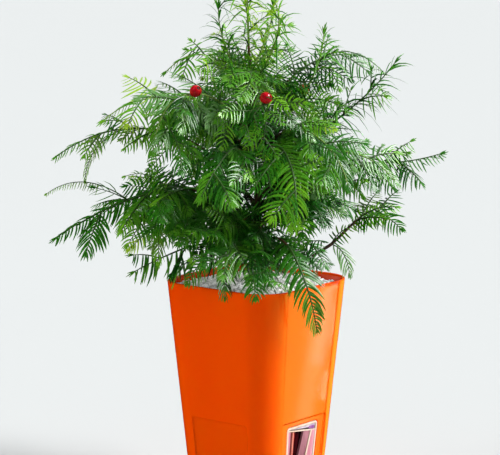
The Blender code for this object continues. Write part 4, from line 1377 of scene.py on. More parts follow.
class Shoot:
    """One leafy shoot: a twig whose needles stand in two flat ranks or all round."""

    PITCH = 0.0062
    NEEDLE = 0.0225
    ANGLE = math.radians(64)
    TIP_ANGLE = math.radians(38)
    END = 0.45
    ROOM = 0.6
    TAPER = 0.55

    def __init__(
        self, path: list[Vector], up: Vector, width: float, owner: int, radial: bool, needle: float, order: int = 0
    ) -> None:
        """Lay out a shoot.

        Args:
            path: its centre line.
            up: the way its upper side looks.
            width: its twig's width at the foot.
            owner: its number.
            radial: whether its needles stand all round.
            needle: the factor on its needles' length.
            order: 0 for a limb's main shoot, 1 for its side shoots and 2 for the finer ones.
        """
        self.path, self.up, self.width, self.owner = path, up, width, owner
        self.radial, self.needle, self.order = radial, needle, order
        self.inner = False
        self.habit = Habit()
        self.frames = self.make_frames()

    def make_frames(self) -> list[tuple[Vector, Vector, Vector, Vector]]:
        """The place, heading, side and upward direction at each station."""
        frames = []
        last = len(self.path) - 1
        for index, point in enumerate(self.path):
            ahead = self.path[min(index + 1, last)] - self.path[max(index - 1, 0)]
            heading = ahead.normalized()
            normal = (self.up - heading * self.up.dot(heading)).normalized()
            frames.append((point, heading, normal.cross(heading), normal))
        return frames

    def thickness(self, index: float) -> float:
        """The twig's width at a station."""
        return self.width * (1 - (1 - self.TAPER) * index / (len(self.path) - 1))

    def end(self) -> Vector:
        """The tip of the needle that ends the shoot."""
        point, heading, _, _ = self.frames[-1]
        return point + heading * self.NEEDLE * self.needle * self.END

    def place_wood(self, room: Room) -> None:
        """Note the twig's stretches and its end needle."""
        for index in range(len(self.path) - 1):
            radius = self.thickness(index) * self.ROOM
            room.add(self.path[index], self.path[index + 1], radius, radius, self.owner)
        radius = self.thickness(len(self.path) - 1) * self.ROOM
        room.add(self.path[-1], self.end(), radius, 0.0003, self.owner)

    def length(self) -> float:
        """The length of its centre line."""
        return span(self.path)

    def at(self, share: float) -> tuple[Vector, Vector, Vector, Vector]:
        """The place, heading, side and upward direction at a share of the way along."""
        place = min(max(share, 0.0), 1.0) * (len(self.path) - 1)
        index = min(int(place), len(self.path) - 2)
        part = place - index
        low, high = self.frames[index], self.frames[index + 1]
        mixed = [low[k].lerp(high[k], part) for k in range(4)]
        return mixed[0], mixed[1].normalized(), mixed[2].normalized(), mixed[3].normalized()

    def roll(self, angle: float) -> None:
        """Turn the spray about its own twig by an angle."""
        c, s = math.cos(angle), math.sin(angle)
        self.frames = [
            (point, heading, side * c + normal * s, normal * c - side * s)
            for point, heading, side, normal in self.frames
        ]


class GrownLimb:
    """A limb worked out: its bough's curve, its main shoot, its side shoots and the finer ones."""

    LIGHT = Vector((0.05, -0.62, 0.78))
    GAP = 0.00045
    MAIN_WIDTH = 0.0027
    SIDE_WIDTH = 0.0020
    FINE_WIDTH = 0.0014
    SIDE_ANGLE = math.radians(52)
    INNER_PITCH = 0.0030
    TUFT_PITCH = 0.0052
    TUFT_REACH = 0.125

    def __init__(self, plan: LimbPlan, number: int, stem: Stem) -> None:
        """Plan a limb.

        Args:
            plan: its sizes.
            number: its place in the list of limbs.
            stem: the trunk that it springs from.
        """
        self.plan, self.number, self.stem = plan, number, stem
        self.draw = random.Random(1000 + number)
        self.fine_draw = random.Random(5000 + number)
        self.bough: list[Vector] = []
        self.shoots: list[Shoot] = []
        self.tip = polar(plan.bearing + plan.swing, plan.tip_reach, plan.tip_height)
        path = self.plan_path()
        self.main = Shoot(path, self.facing(path), self.MAIN_WIDTH, self.owner(0), plan.radial, plan.needle)
        self.main.habit = plan.habit
        self.shoots.append(self.main)

    def plan_path(self) -> list[Vector]:
        """Arch over the elbow to the tip; keep the bare stretch as the bough and give back the rest."""
        plan = self.plan
        foot = self.stem.point(plan.foot)
        elbow = polar(plan.bearing, plan.elbow_reach, plan.elbow_height)
        control = foot.lerp(elbow, 0.5) + Vector((0, 0, 2 * plan.bow))
        inner = arc(foot, control, elbow)
        heading = (elbow - control).normalized()
        beyond = elbow + heading * (self.tip - elbow).length * 0.5
        end_needle = Shoot.NEEDLE * plan.needle * Shoot.END
        whole = inner + arc(elbow, beyond, self.tip - (self.tip - beyond).normalized() * end_needle)[1:]
        bare = span(inner) * plan.bare
        if plan.bare:
            self.bough = walk(whole, 0.0, bare, bare / 4)
        return walk(whole, bare + self.GAP, span(whole), Shoot.PITCH)

    def facing(self, path: list[Vector]) -> Vector:
        """The upward direction of the spray, its top turned to the light."""
        heading = (path[-1] - path[0]).normalized()
        up = (self.LIGHT - heading * self.LIGHT.dot(heading)).normalized()
        return Matrix.Rotation(self.draw.uniform(-0.25, 0.25), 3, heading) @ up

    def owner(self, shoot: int) -> int:
        """A number for one shoot of this limb."""
        return (self.number + 1) * 100 + shoot

    def grow_side_shoots(self, room: Room) -> None:
        """Side shoots alternate along the main one, shorter towards its tip, where there is room."""
        plan = self.plan
        last = len(self.main.path) - 1
        for number in range(plan.sides):
            along = 0.10 + (0.72 - 0.10) * number / max(plan.sides - 1, 1)
            index = max(1, round(along * last))
            root, heading, side, normal = self.main.frames[index]
            hand = 1 if (number + self.number) % 2 else -1
            length = plan.side_length * (1.08 - 0.62 * along) * self.draw.uniform(0.88, 1.12)
            for tries in range(6):
                angle = self.SIDE_ANGLE * self.draw.uniform(0.82, 1.12)
                tilt = self.draw.uniform(-0.32, 0.42) + (self.draw.uniform(-1.5, 1.5) if plan.radial else 0)
                outward = side * hand * math.cos(tilt) + normal * math.sin(tilt)
                ahead = heading * math.cos(angle) + outward * math.sin(angle)
                if self.try_shoot(root, ahead, normal, length * 0.9**tries, room, self.SIDE_WIDTH, self.main, 1):
                    break

    def try_shoot(
        self, root: Vector, ahead: Vector, normal: Vector, length: float, room: Room,
        width: float, parent: Shoot, order: int, margin: float = 0.0013,
    ) -> bool:
        """Add one shoot if its twig is clear of all but its parent.

        Args:
            root: where it springs from.
            ahead: which way it starts.
            normal: which way its upper side looks.
            length: how long it is.
            room: the wood placed so far.
            width: its twig's width.
            parent: the shoot that it springs from.
            order: how fine it is.
            margin: the least gap to other wood.

        Returns:
            Whether it was added.
        """
        sag = Vector((0, 0, -0.16 * length))
        fine = arc(root, root + ahead * length * 0.5 - sag * 0.2, root + ahead * length + sag)
        path = walk(fine, 0.0, length * 2, Shoot.PITCH)
        radius = width * Shoot.ROOM
        ends = list(zip(path, path[1:]))
        ends.append((path[-1], path[-1] + (path[-1] - path[-2]).normalized() * Shoot.NEEDLE * Shoot.END))
        for number, (a, b) in enumerate(ends):
            if meets_pot(a, b, radius + 0.0006):
                return False
            if room.gap(a, b, radius, radius, parent.owner if number < 2 else None) < margin:
                return False
        shoot = Shoot(path, normal, width, self.owner(len(self.shoots)), False, self.plan.needle, order)
        shoot.habit = replace(self.plan.habit, thin_from=1.0, bare=0.0, tints=None)
        shoot.place_wood(room)
        self.shoots.append(shoot)
        return True

    def grow_fine_shoots(self, room: Room, reach: tuple[Vector, Vector]) -> None:
        """Finer shoots between the side shoots, and on them, that stay within the mass's own reach.

        Args:
            room: the wood placed so far.
            reach: the lowest and highest corner of the mass.
        """
        draw = self.fine_draw
        for shoot in self.shoots[1:]:
            shoot.roll(draw.uniform(-0.45, 0.45))
        for parent in list(self.shoots):
            long = parent.length()
            pitch = 0.0125 if parent.order == 0 else 0.0165
            count = int((long * 0.8) / pitch)
            for number in range(count):
                along = (number + 0.6 + draw.uniform(-0.2, 0.2)) * pitch / long
                root, heading, side, normal = parent.at(along)
                out = min(max((root.xy.length - 0.05) / 0.09, 0.0), 1.0)
                if draw.random() > self.plan.fine * (1 - 0.6 * out):
                    continue
                hand = -1 if (number + parent.owner) % 2 else 1
                base = self.plan.side_length if parent.order == 0 else long * 0.72
                length = base * (0.86 - 0.6 * along) * draw.uniform(0.75, 1.1)
                if length < 0.011:
                    continue
                for tries in range(5):
                    angle = self.SIDE_ANGLE * draw.uniform(0.8, 1.1)
                    tilt = draw.uniform(-0.4, 0.5) + (draw.uniform(-1.5, 1.5) if self.plan.radial else 0)
                    outward = side * hand * math.cos(tilt) + normal * math.sin(tilt)
                    ahead = heading * math.cos(angle) + outward * math.sin(angle)
                    far = root + ahead * (length * 0.85**tries + 0.012)
                    if not within(far, reach, 0.004):
                        continue
                    if self.try_shoot(
                        root, ahead, normal, length * 0.85**tries, room, self.FINE_WIDTH, parent, parent.order + 1, 0.0007
                    ):
                        self.shoots[-1].roll(draw.uniform(-0.5, 0.5))
                        break
        for shoot in self.shoots[1:]:
            heading = (shoot.path[-1] - shoot.path[0]).normalized()
            shoot.radial = self.plan.radial and heading.z > 0.45

    def trim(self, level: float) -> None:
        """Cut back the shoots that hang below a level over the pot's rim."""
        for shoot in self.shoots:
            low = [index for index, spot in enumerate(shoot.path) if spot.z < level]
            if low:
                stay = max(low[0], 3)
                shoot.path, shoot.frames = shoot.path[:stay], shoot.frames[:stay]

    def grow_tufts(self, room: Room) -> None:
        """Short shoots that stand off the sprays near the trunk and close the crown."""
        draw = self.fine_draw
        for parent in [shoot for shoot in self.shoots if shoot.order < 2 and not shoot.inner]:
            count = int(parent.length() / self.TUFT_PITCH)
            for number in range(count):
                root, heading, side, normal = parent.at((number + draw.random()) / count)
                close = 1 - root.xy.length / self.TUFT_REACH
                if draw.random() > close * 1.7 * self.plan.tufts:
                    continue
                turn = draw.uniform(0, math.tau)
                outward = side * math.cos(turn) + normal * math.sin(turn)
                angle = math.radians(draw.uniform(38, 65))
                ahead = heading * math.cos(angle) + outward * math.sin(angle)
                length = draw.uniform(0.016, 0.034)
                if not in_crown(root + ahead * (length + 0.012)):
                    continue
                if self.try_shoot(root, ahead, normal, length, room, self.FINE_WIDTH, parent, 3, 0.0005):
                    tuft = self.shoots[-1]
                    tuft.roll(draw.uniform(-0.7, 0.7))
                    tuft.radial = self.plan.radial and ahead.z > 0.35

    def grow_inner_shoots(self, room: Room) -> None:
        """Short leafy shoots that spring from the bare stretch and fill the shade inside the crown."""
        if not self.bough or self.plan.bare == 1:
            return
        draw = self.fine_draw
        points = walk(self.bough, 0.0, 1.0, 0.004)
        bough = Shoot(points, Vector((0, 0, 1)), 0.004, self.owner(99), False, 1.0)
        for number in range(max(2, int(bough.length() / self.INNER_PITCH))):
            root, heading, side, normal = bough.at(0.3 + 0.7 * (number + 0.5) * self.INNER_PITCH / bough.length())
            turn = number * 2.4 + draw.uniform(-0.5, 0.5)
            outward = side * math.cos(turn) + normal * math.sin(turn) * 0.7
            angle = math.radians(draw.uniform(48, 75))
            ahead = (heading * math.cos(angle) + outward * math.sin(angle)).normalized()
            add_inner(self, root, ahead, draw.uniform(0.034, 0.058), room, bough)


def add_inner(
    limb: GrownLimb, root: Vector, ahead: Vector, length: float, room: Room, parent: Shoot
) -> Optional[Shoot]:
    """Add a shoot to a limb's shaded inside, shorter where the room is tight.

    Args:
        limb: the limb.
        root: where the shoot springs from.
        ahead: which way it starts.
        length: how long it is.
        room: the wood placed so far.
        parent: what it springs from.

    Returns:
        The shoot, or nothing where there is no room.
    """
    draw = limb.fine_draw
    for tries in range(7):
        if tries > 2:
            ahead = (ahead + Vector([draw.uniform(-0.4, 0.4) for _ in range(3)])).normalized()
        normal = (Vector((0.05, -0.4, 1.0)) - ahead * ahead.dot(Vector((0.05, -0.4, 1.0)))).normalized()
        if not in_crown(root + ahead * (length * 0.82**tries + 0.012)):
            continue
        if limb.try_shoot(root, ahead, normal, length * 0.82**tries, room, limb.FINE_WIDTH, parent, 2, 0.0005):
            # Marked inner, the shoot takes the dark INNER tints: painted shade.
            limb.shoots[-1].inner = True
            limb.shoots[-1].habit = Habit(slim=1.25)
            limb.shoots[-1].roll(draw.uniform(-0.8, 0.8))
            return limb.shoots[-1]
    return None


def in_crown(place: Vector) -> bool:
    """Whether a place in the plant's frame lies inside the crown's close-grown heart."""
    heights, lefts, rights = zip(*CROWN_EDGE)
    return np.interp(place.z, heights, lefts) < place.x < np.interp(place.z, heights, rights)


def within(place: Vector, reach: tuple[Vector, Vector], margin: float) -> bool:
    """Whether a place in the plant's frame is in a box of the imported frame, grown by a margin."""
    spot = PLANT_TURN @ place
    low, high = reach
    return all(low[axis] - margin < spot[axis] < high[axis] + margin for axis in range(3))


POT = Pot()


def in_pot(point: Vector, margin: float) -> bool:
    """Whether a place in the plant's frame lies inside the pot's outline, grown by a margin."""
    spot = PLANT_TURN @ point
    if spot.z > POT.height + margin:
        return False
    half = POT.side_at(spot.z) / 2
    corner = POT.foot_corner * 2 * half / POT.foot_side
    dx = max(abs(spot.x) - (half - corner), 0)
    dy = max(abs(spot.y) - (half - corner), 0)
    return math.hypot(dx, dy) < corner + margin


def meets_pot(start: Vector, end: Vector, margin: float) -> bool:
    """Whether a stretch comes within a margin of the pot."""
    return any(in_pot(start.lerp(end, step / 4), margin) for step in range(5))


# ---------------------------------------------------------------- foliage


@dataclass
class NeedleHeap:
    """The needles of one region, noted one by one and then meshed together."""

    rows: list[tuple[float, ...]] = field(default_factory=list)
    tints: list[int] = field(default_factory=list)

    STATIONS = np.array([0.0, 0.08, 0.30, 0.60, 0.86])
    WIDTHS = np.array([0.40, 0.80, 1.0, 0.92, 0.50])

    def add(
        self, foot: Vector, way: Vector, face: Vector, ahead: Vector, length: float, width: float,
        droop: float, sweep: float, tint: int,
    ) -> None:
        """Note a needle.

        Args:
            foot: where it springs from.
            way: which way it stands.
            face: which way its upper side looks.
            ahead: the heading of its shoot.
            length: its length.
            width: its width.
            droop: how far its tip sinks, as a share of its length.
            sweep: how far its middle bows away from the heading.
            tint: the number of its tint.
        """
        self.rows.append((*foot, *way, *face, *ahead, length, width, droop, sweep))
        self.tints.append(tint)

    def mesh(self, name: str, finishes: Sequence[bpy.types.Material]) -> bpy.types.Object:
        """The needles as one piece: flat blades with a raised midrib and a flat underside.

        Args:
            name: the piece's name.
            finishes: the tints' materials.

        Returns:
            The piece.
        """
        rows = np.array(self.rows)
        foot, way, face, ahead = rows[:, 0:3], rows[:, 3:6], rows[:, 6:9], rows[:, 9:12]
        length, width, droop, sweep = rows[:, 12:13], rows[:, 13:14], rows[:, 14:15], rows[:, 15:16]
        face = face - way * (face * way).sum(1, keepdims=True)
        face /= np.linalg.norm(face, axis=1, keepdims=True)
        side = np.cross(way, face)
        bow = ahead - way * (ahead * way).sum(1, keepdims=True)
        bow /= np.maximum(np.linalg.norm(bow, axis=1, keepdims=True), 1e-6)
        down = np.array([0.0, 0.0, -1.0])
        corners = []
        for share, wide in zip(self.STATIONS, self.WIDTHS):
            middle = foot + length * (way * share + down * droop * share**2 - bow * sweep * share * (1 - share) * 4)
            half = side * width * wide / 2
            rise = face * width * 0.17 * min(wide + 0.2, 1.0)
            corners += [middle - half, middle + rise, middle + half]
        corners.append(foot + length * (way + down * droop))
        count = len(self.STATIONS)
        faces = [(0, 2, 1)]
        for ring in range(count - 1):
            low, high = ring * 3, ring * 3 + 3
            for a, b in ((0, 1), (1, 2), (2, 0)):
                faces += [(low + a, low + b, high + b), (low + a, high + b, high + a)]
        top = (count - 1) * 3
        faces += [(top, top + 1, top + 3), (top + 1, top + 2, top + 3), (top + 2, top, top + 3)]
        each = count * 3 + 1
        points = np.stack(corners, 1).reshape(-1, 3)
        triangles = (np.array(faces)[None] + np.arange(len(rows))[:, None, None] * each).reshape(-1, 3)
        heap = Heap()
        heap.add(points, triangles)
        heap.finishes = [np.repeat(np.array(self.tints), len(faces))]
        return heap.mesh(name, finishes, 60.0, PLANT_TURN)


@dataclass
class Foliage:
    """All the limbs' shoots, dressed with twigs and needles, one region after another."""

    stem: Stem
    pitch: float = 0.0034
    round_pitch: float = 0.0018
    needle_width: float = 0.0023
    berry_radius: float = 0.0052
    stem_first: float = 0.236
    stem_last: float = 0.384
    front_first: float = 0.262
    front_last: float = 0.362
    stem_pitch: float = 0.0006
    bright_from: float = 0.352
    rim: float = 0.199
    short_over_rim: tuple[str, ...] = ("front_low", "front_low_right", "left_inner", "front_inner")
    bark: Optional[bpy.types.Material] = None
    twig_finishes: Sequence[bpy.types.Material] = ()
    needle_finishes: Sequence[bpy.types.Material] = ()
    berry_finishes: Sequence[bpy.types.Material] = ()
    limbs: list[GrownLimb] = field(default_factory=list)
    berry_spots: list[tuple[Vector, Vector]] = field(default_factory=list)

    def grow(self) -> None:
        """Grow every limb by the source's rule, and then the finer shoots."""
        room = Room()
        heights = np.linspace(self.stem.foot, self.stem.tip, 30)
        for low, high in zip(heights, heights[1:]):
            room.add(
                self.stem.point(low), self.stem.point(high), self.stem.thickness(low), self.stem.thickness(high), 0
            )
        self.limbs = [GrownLimb(plan, number, self.stem) for number, plan in enumerate(LIMBS)]
        for limb in self.limbs:
            for a, b in zip(limb.bough, limb.bough[1:]):
                room.add(a, b, 0.0021, 0.0021, limb.owner(99))
            limb.main.place_wood(room)
        for limb in self.limbs:
            limb.grow_side_shoots(room)
        self.seat_berries()
        for limb in self.limbs:
            limb.grow_fine_shoots(room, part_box("foliage_" + limb.plan.name))
        self.grow_whips(room)
        for limb in self.limbs:
            limb.grow_tufts(room)
        for limb in self.limbs:
            limb.grow_inner_shoots(room)
        self.grow_stem_shoots(room)
        for limb in self.limbs:
            if limb.plan.name in self.short_over_rim:
                limb.trim(self.rim)
        LOG.info("%d shoots on %d limbs", sum(len(limb.shoots) for limb in self.limbs), len(self.limbs))

    def grow_whips(self, room: Room) -> None:
        """The thin outer twigs, each from the nearest place on its limb.

        Args:
            room: the wood placed so far.
        """
        by_name = {limb.plan.name: limb for limb in self.limbs}
        for whip in WHIPS:
            limb = by_name[whip.limb]
            foot = Vector(whip.foot)
            spots = [spot for shoot in limb.shoots for spot in shoot.path]
            root = min(spots + limb.bough, key=lambda found: (found - foot).length)
            path = walk(arc(root, Vector(whip.over), Vector(whip.tip)), 0.0, 1.0, 0.004)
            owner = limb.owner(len(limb.shoots))
            shoot = Shoot(path, limb.LIGHT, 0.0015, owner, False, whip.needle, 1)
            shoot.habit = whip.habit
            shoot.place_wood(room)
            limb.shoots.append(shoot)

    def grow_stem_shoots(self, room: Room) -> None:
        """Short leafy shoots all round the trunk, which fill the shade inside the crown.

        Args:
            room: the wood placed so far.
        """
        heights = np.linspace(self.stem.foot, self.stem.tip, 60)
        stem = Shoot([self.stem.point(h) for h in heights], Vector((0, -1, 0)), 0.006, 0, False, 1.0)
        draw = random.Random(77)
        count = int((self.stem_last - self.stem_first) / self.stem_pitch)
        heights = [self.stem_first + number * self.stem_pitch for number in range(count)]
        turns = [(height, number * math.radians(137.5), draw.uniform(8, 50)) for number, height in enumerate(heights)]
        turns += [
            (height, -math.pi / 2 + draw.uniform(-1.1, 1.1), draw.uniform(30, 68))
            for height in heights if self.front_first < height < self.front_last
        ]
        for height, bearing, steep in turns:
            share = (height - self.stem_first) / (self.stem_last - self.stem_first)
            bearing += draw.uniform(-0.3, 0.3)
            rise = math.radians(steep)
            ahead = Vector((
                math.cos(bearing) * math.cos(rise), math.sin(bearing) * math.cos(rise), math.sin(rise)
            ))
            limb = min(self.limbs, key=lambda grown: abs(grown.plan.foot - height))
            length = (0.072 - 0.036 * share) * draw.uniform(0.7, 1.05)
            grown = add_inner(limb, self.stem.point(height), ahead, length, room, stem)
            # Above bright_from the stem shoots take their limb's tints, not INNER's painted shade.
            if grown and height > self.bright_from:
                grown.inner, grown.radial = False, ahead.z > 0.5
                grown.habit = Habit(slim=0.65)

    def seat_berries(self) -> None:
        """Find where each berry sits: on the shoot that comes nearest to its place."""
        by_name = {limb.plan.name: limb for limb in self.limbs}
        for name, target in BERRIES:
            spots = [spot for shoot in by_name[name].shoots for spot in shoot.path[1:-1]]
            spot = min(spots, key=lambda found: (found - target).length)
            way = (target - spot).normalized()
            self.berry_spots.append((spot + way * self.berry_radius * 0.85, way))

    def boughs(self) -> bpy.types.Object:
        """The bare boughs, joined, with their bark's relief."""
        heap = Heap()
        nodes = []
        for limb in self.limbs:
            if not limb.bough:
                continue
            nodes.append("bough_" + limb.plan.name)
            fine = walk(limb.bough + limb.main.path[:2], 0.0, 1.0, 0.0016)
            last = len(fine) - 1
            radii = [0.0022 - 0.0009 * step / last for step in range(last + 1)]
            add_barked(heap, fine, radii, 14, 0.00022, 7.0 + limb.number)
        return keep(heap.mesh("bark_boughs", [self.bark], 70.0, PLANT_TURN), nodes)

    def home(self, limb: GrownLimb, shoot: Shoot) -> Region:
        """The region that a shoot belongs to."""
        if not shoot.inner:
            return limb.plan.region
        return Region.INNER_LOW if shoot.path[0].z < 0.29 else Region.INNER_HIGH

    def of_region(self, region: Region) -> list[tuple[GrownLimb, Shoot]]:
        """The shoots of a region, each with its limb."""
        return [
            (limb, shoot)
            for limb in self.limbs
            for shoot in limb.shoots
            if self.home(limb, shoot) is region
        ]

    def twigs(self, region: Region) -> bpy.types.Object:
        """The twigs of a region: brown at the foot of a main shoot, green and paler beyond."""
        heap = Heap()
        for limb, shoot in self.of_region(region):
            fine = walk(shoot.path, 0.0, 1.0, 0.0030)
            last = len(fine) - 1
            radii = [shoot.width * 0.42 * (1 - 0.62 * (step / last) ** 1.3) for step in range(last + 1)]
            fresh = limb.plan.mood in (Mood.GOLDEN, Mood.BRIGHT, Mood.SILVERY)
            green = 1 if fresh and shoot.order == 0 else 2
            if shoot.order == 0:
                brown = max(2, int(last * (0.1 if fresh else 0.25)))
                add_twig(heap, fine[: brown + 1], radii[: brown + 1], 0)
                add_twig(heap, fine[brown:], radii[brown:], green)
            else:
                add_twig(heap, fine, radii, green)
        return keep(heap.mesh(f"twigs_{region.value}", self.twig_finishes, 70.0, PLANT_TURN))

    def needles(self, region: Region) -> bpy.types.Object:
        """The needles of a region, in place of its masses' solids."""
        heap = NeedleHeap()
        draws = {limb.number: random.Random(9000 + limb.number) for limb in self.limbs}
        for limb, shoot in self.of_region(region):
            self.dress_shoot(heap, limb, shoot, draws[limb.number])
        nodes = ["foliage_" + limb.plan.name for limb in self.limbs if limb.plan.region is region]
        piece = heap.mesh(f"needles_{region.value}", self.needle_finishes)
        LOG.info("%d needles", len(heap.rows))
        return keep(piece, nodes)

    def spray_tints(self, limb: GrownLimb, shoot: Shoot, draw: random.Random) -> tuple[int, int, int]:
        """The tints of a spray's foot, middle and tip.

        Args:
            limb: the limb.
            shoot: the shoot to be dressed.
            draw: the limb's own draw.

        Returns:
            The numbers of the three tints.
        """
        # Shoots inside the crown take INNER's dark greens as painted shade.
        mood = Mood.INNER if shoot.inner else limb.plan.mood
        chosen = draw.choices([tint for tint, _ in mood.value], [weight for _, weight in mood.value])[0]
        # Sprays that end close to the trunk, low in the crown, go a tint darker: painted shade.
        if not shoot.inner and shoot.path[-1].xy.length < 0.05 and shoot.path[-1].z < 0.38:
            chosen = chosen.darker()
        tip = chosen.fresher() if draw.random() < 0.35 else chosen
        if shoot.habit.tints:
            chosen, tip = shoot.habit.tints
        # Most sprays go a tint darker at the foot: painted shade on their inner part.
        foot = chosen.darker() if draw.random() < 0.6 else chosen
        order = list(Tint)
        return order.index(foot), order.index(chosen), order.index(tip)

    @staticmethod
    def tint_at(tints: tuple[int, int, int], along: float) -> int:
        """The number of the tint that a spray has so far along it."""
        return tints[0 if along < 0.3 else 1 if along < 0.7 else 2]

    def near_berry(self, start: Vector, end: Vector) -> bool:
        """Whether a needle comes too near a berry, or stands before it."""
        for centre, _ in self.berry_spots:
            for step in range(4):
                apart = start.lerp(end, step / 3) - centre
                before = min(max(-apart.y, 0.0), 0.045)
                if math.hypot(apart.x, apart.y + before, apart.z - before * 0.18) < self.berry_radius * 1.12:
                    return True
        return False

    def dress_shoot(self, heap: NeedleHeap, limb: GrownLimb, shoot: Shoot, draw: random.Random) -> None:
        """Stand a shoot's needles out in its ranks, or all round it.

        Args:
            heap: where they go.
            limb: the limb.
            shoot: the shoot.
            draw: the limb's own draw.
        """
        tints = self.spray_tints(limb, shoot, draw)
        long = shoot.length()
        scale = Shoot.NEEDLE * shoot.needle * (1.04, 0.94, 0.74, 0.64)[min(shoot.order, 3)] * shoot.habit.short
        pitch = (self.round_pitch if shoot.radial else self.pitch) * shoot.habit.sparse
        count = max(4, int(long / pitch))
        start = max(1 if shoot.order == 0 else max(1, int(0.003 / pitch)), int(shoot.habit.bare * count))
        for number in range(start, count + 1):
            if shoot.radial:
                self.stand_round(heap, shoot, number, count, scale, draw, tints)
                continue
            for rank in (-1, 1):
                self.stand_flat(heap, shoot, number, count, rank, scale, draw, tints)
        point, heading, side, normal = shoot.at(1.0)
        for spread in (-0.30, 0.0, 0.27):
            way = (heading * math.cos(spread) + side * math.sin(spread)).normalized()
            heap.add(
                point, way, normal, heading, scale * (0.34 if spread else 0.42), self.needle_width * 0.62,
                draw.uniform(0.0, 0.1), 0.0, tints[2],
            )

    def stand_flat(
        self, heap: NeedleHeap, shoot: Shoot, number: int, count: int, rank: int, scale: float,
        draw: random.Random, tints: tuple[int, int, int],
    ) -> None:
        """Stand one needle out in one of the two ranks of a flat spray.

        Args:
            heap: where it goes.
            shoot: the shoot.
            number: its number from the foot.
            count: how many there are in a rank.
            rank: -1 or 1, for the left or the right rank.
            scale: the full length of the shoot's needles.
            draw: the limb's own draw.
            tints: the numbers of the tints of its foot, its middle and its tip.
        """
        along = min(max((number + 0.25 * rank + draw.uniform(-0.12, 0.12)) / count, 0.0), 1.0)
        point, heading, side, normal = shoot.at(along)
        lean = Shoot.ANGLE + (math.radians(36) - Shoot.ANGLE) * along**2.4 + draw.uniform(-0.16, 0.16)
        full = min(0.62 + along * 1.6, 1.0) * (1 - 0.62 * max(along - 0.5, 0.0) / 0.5)
        length = scale * full * draw.uniform(0.84, 1.08)
        lift = draw.uniform(-0.10, 0.24)
        habit = shoot.habit
        thin = along > habit.thin_from
        clasp = 0.6 if thin else habit.clasp
        lean *= 1 - 0.7 * clasp
        outward = side * rank * math.cos(lift) + normal * math.sin(lift)
        way = outward * math.sin(lean) + heading * math.cos(lean)
        way = (way + Vector((0, 0, -habit.hang * draw.uniform(0.7, 1.2)))).normalized()
        face = normal + side * rank * draw.uniform(-0.25, 0.15)
        self.place(
            heap, point, way, face, heading, length * (0.5 if thin else 1.0), draw.uniform(0.10, 0.38),
            draw.uniform(0.03, 0.12), self.tint_at(tints, along + draw.uniform(-0.15, 0.15)), draw,
            habit.slim * (0.7 if thin else 1.0),
        )

    def stand_round(
        self, heap: NeedleHeap, shoot: Shoot, number: int, count: int, scale: float,
        draw: random.Random, tints: tuple[int, int, int],
    ) -> None:
        """Stand one needle out on an upright shoot: long and narrow, rising and then arching over.

        Args:
            heap: where it goes.
            shoot: the shoot.
            number: its number from the foot.
            count: how many there are.
            scale: the full length of the shoot's needles.
            draw: the limb's own draw.
            tints: the numbers of the tints of its foot, its middle and its tip.
        """
        along = min(max((number + draw.uniform(-0.3, 0.3)) / count, 0.0), 1.0)
        point, heading, side, normal = shoot.at(along)
        turn = number * math.radians(137.5) + draw.uniform(-0.25, 0.25)
        outward = side * math.cos(turn) + normal * math.sin(turn)
        lean = math.radians(54 - 30 * along**3) + draw.uniform(-0.08, 0.08)
        length = scale * 1.3 * (1 - 0.3 * max(along - 0.6, 0.0) / 0.4) * draw.uniform(0.88, 1.08)
        way = (outward * math.sin(lean) + heading * math.cos(lean)).normalized()
        across = way.cross(heading).normalized()
        face = heading + across * draw.uniform(-0.5, 0.5)
        self.place(
            heap, point, way, face, heading, length, draw.uniform(0.5, 0.8) * (1 - 0.4 * along**3), 0.0,
            self.tint_at(tints, along), draw, shoot.habit.slim,
        )

    def place(
        self, heap: NeedleHeap, point: Vector, way: Vector, face: Vector, heading: Vector, length: float,
        droop: float, sweep: float, tint: int, draw: random.Random, slim: float = 1.0,
    ) -> None:
        """Add a needle unless it would meet the pot or a berry.

        Args:
            heap: where it goes.
            point: where it springs from.
            way: which way it stands.
            face: which way its upper side looks.
            heading: the heading of its shoot.
            length: its length.
            droop: how far its tip sinks, as a share of its length.
            sweep: how far its middle bows away from the heading.
            tint: the number of its tint.
            draw: the limb's own draw.
            slim: a factor on its width.
        """
        width = self.needle_width * slim * draw.uniform(0.88, 1.1) * (0.4 + 0.6 * length / Shoot.NEEDLE)
        tip = point + way * length + Vector((0, 0, -droop * length))
        if in_pot(tip, 0.0004) or in_pot(point.lerp(tip, 0.6), 0.0004) or self.near_berry(point, tip):
            return
        heap.add(point, way, face, heading, length, width, droop, sweep, tint)

    def berries(self) -> bpy.types.Object:
        """The red berries, joined."""
        heap = Heap()
        for centre, way in self.berry_spots:
            add_berry(heap, centre, way, self.berry_radius)
        return keep(heap.mesh("berries", self.berry_finishes, 40.0, PLANT_TURN))


def add_twig(heap: Heap, points: Sequence[Vector], radii: Sequence[float], finish: int) -> None:
    """Add a six-sided tapering twig.

    Args:
        heap: where it goes.
        points: its centre line.
        radii: its radius at each point.
        finish: the number of its material.
    """
    around = 6
    normal = Vector((0.1, -0.3, 1.0))
    corners: list[Vector] = []
    for index, (point, radius) in enumerate(zip(points, radii)):
        ahead = (points[min(index + 1, len(points) - 1)] - points[max(index - 1, 0)]).normalized()
        normal = (normal - ahead * normal.dot(ahead)).normalized()
        side = ahead.cross(normal)
        for step in range(around):
            turn = math.tau * step / around
            corners.append(point + (normal * math.cos(turn) + side * math.sin(turn)) * radius)
    faces = band(len(points), around).tolist()
    corners += [points[0], points[-1] + (points[-1] - points[-2]).normalized() * radii[-1]]
    last = (len(points) - 1) * around
    for step in range(around):
        after = (step + 1) % around
        faces.append((len(corners) - 2, after, step))
        faces.append((last + step, last + after, len(corners) - 1))
    heap.add(np.array(corners), np.array(faces), finish)


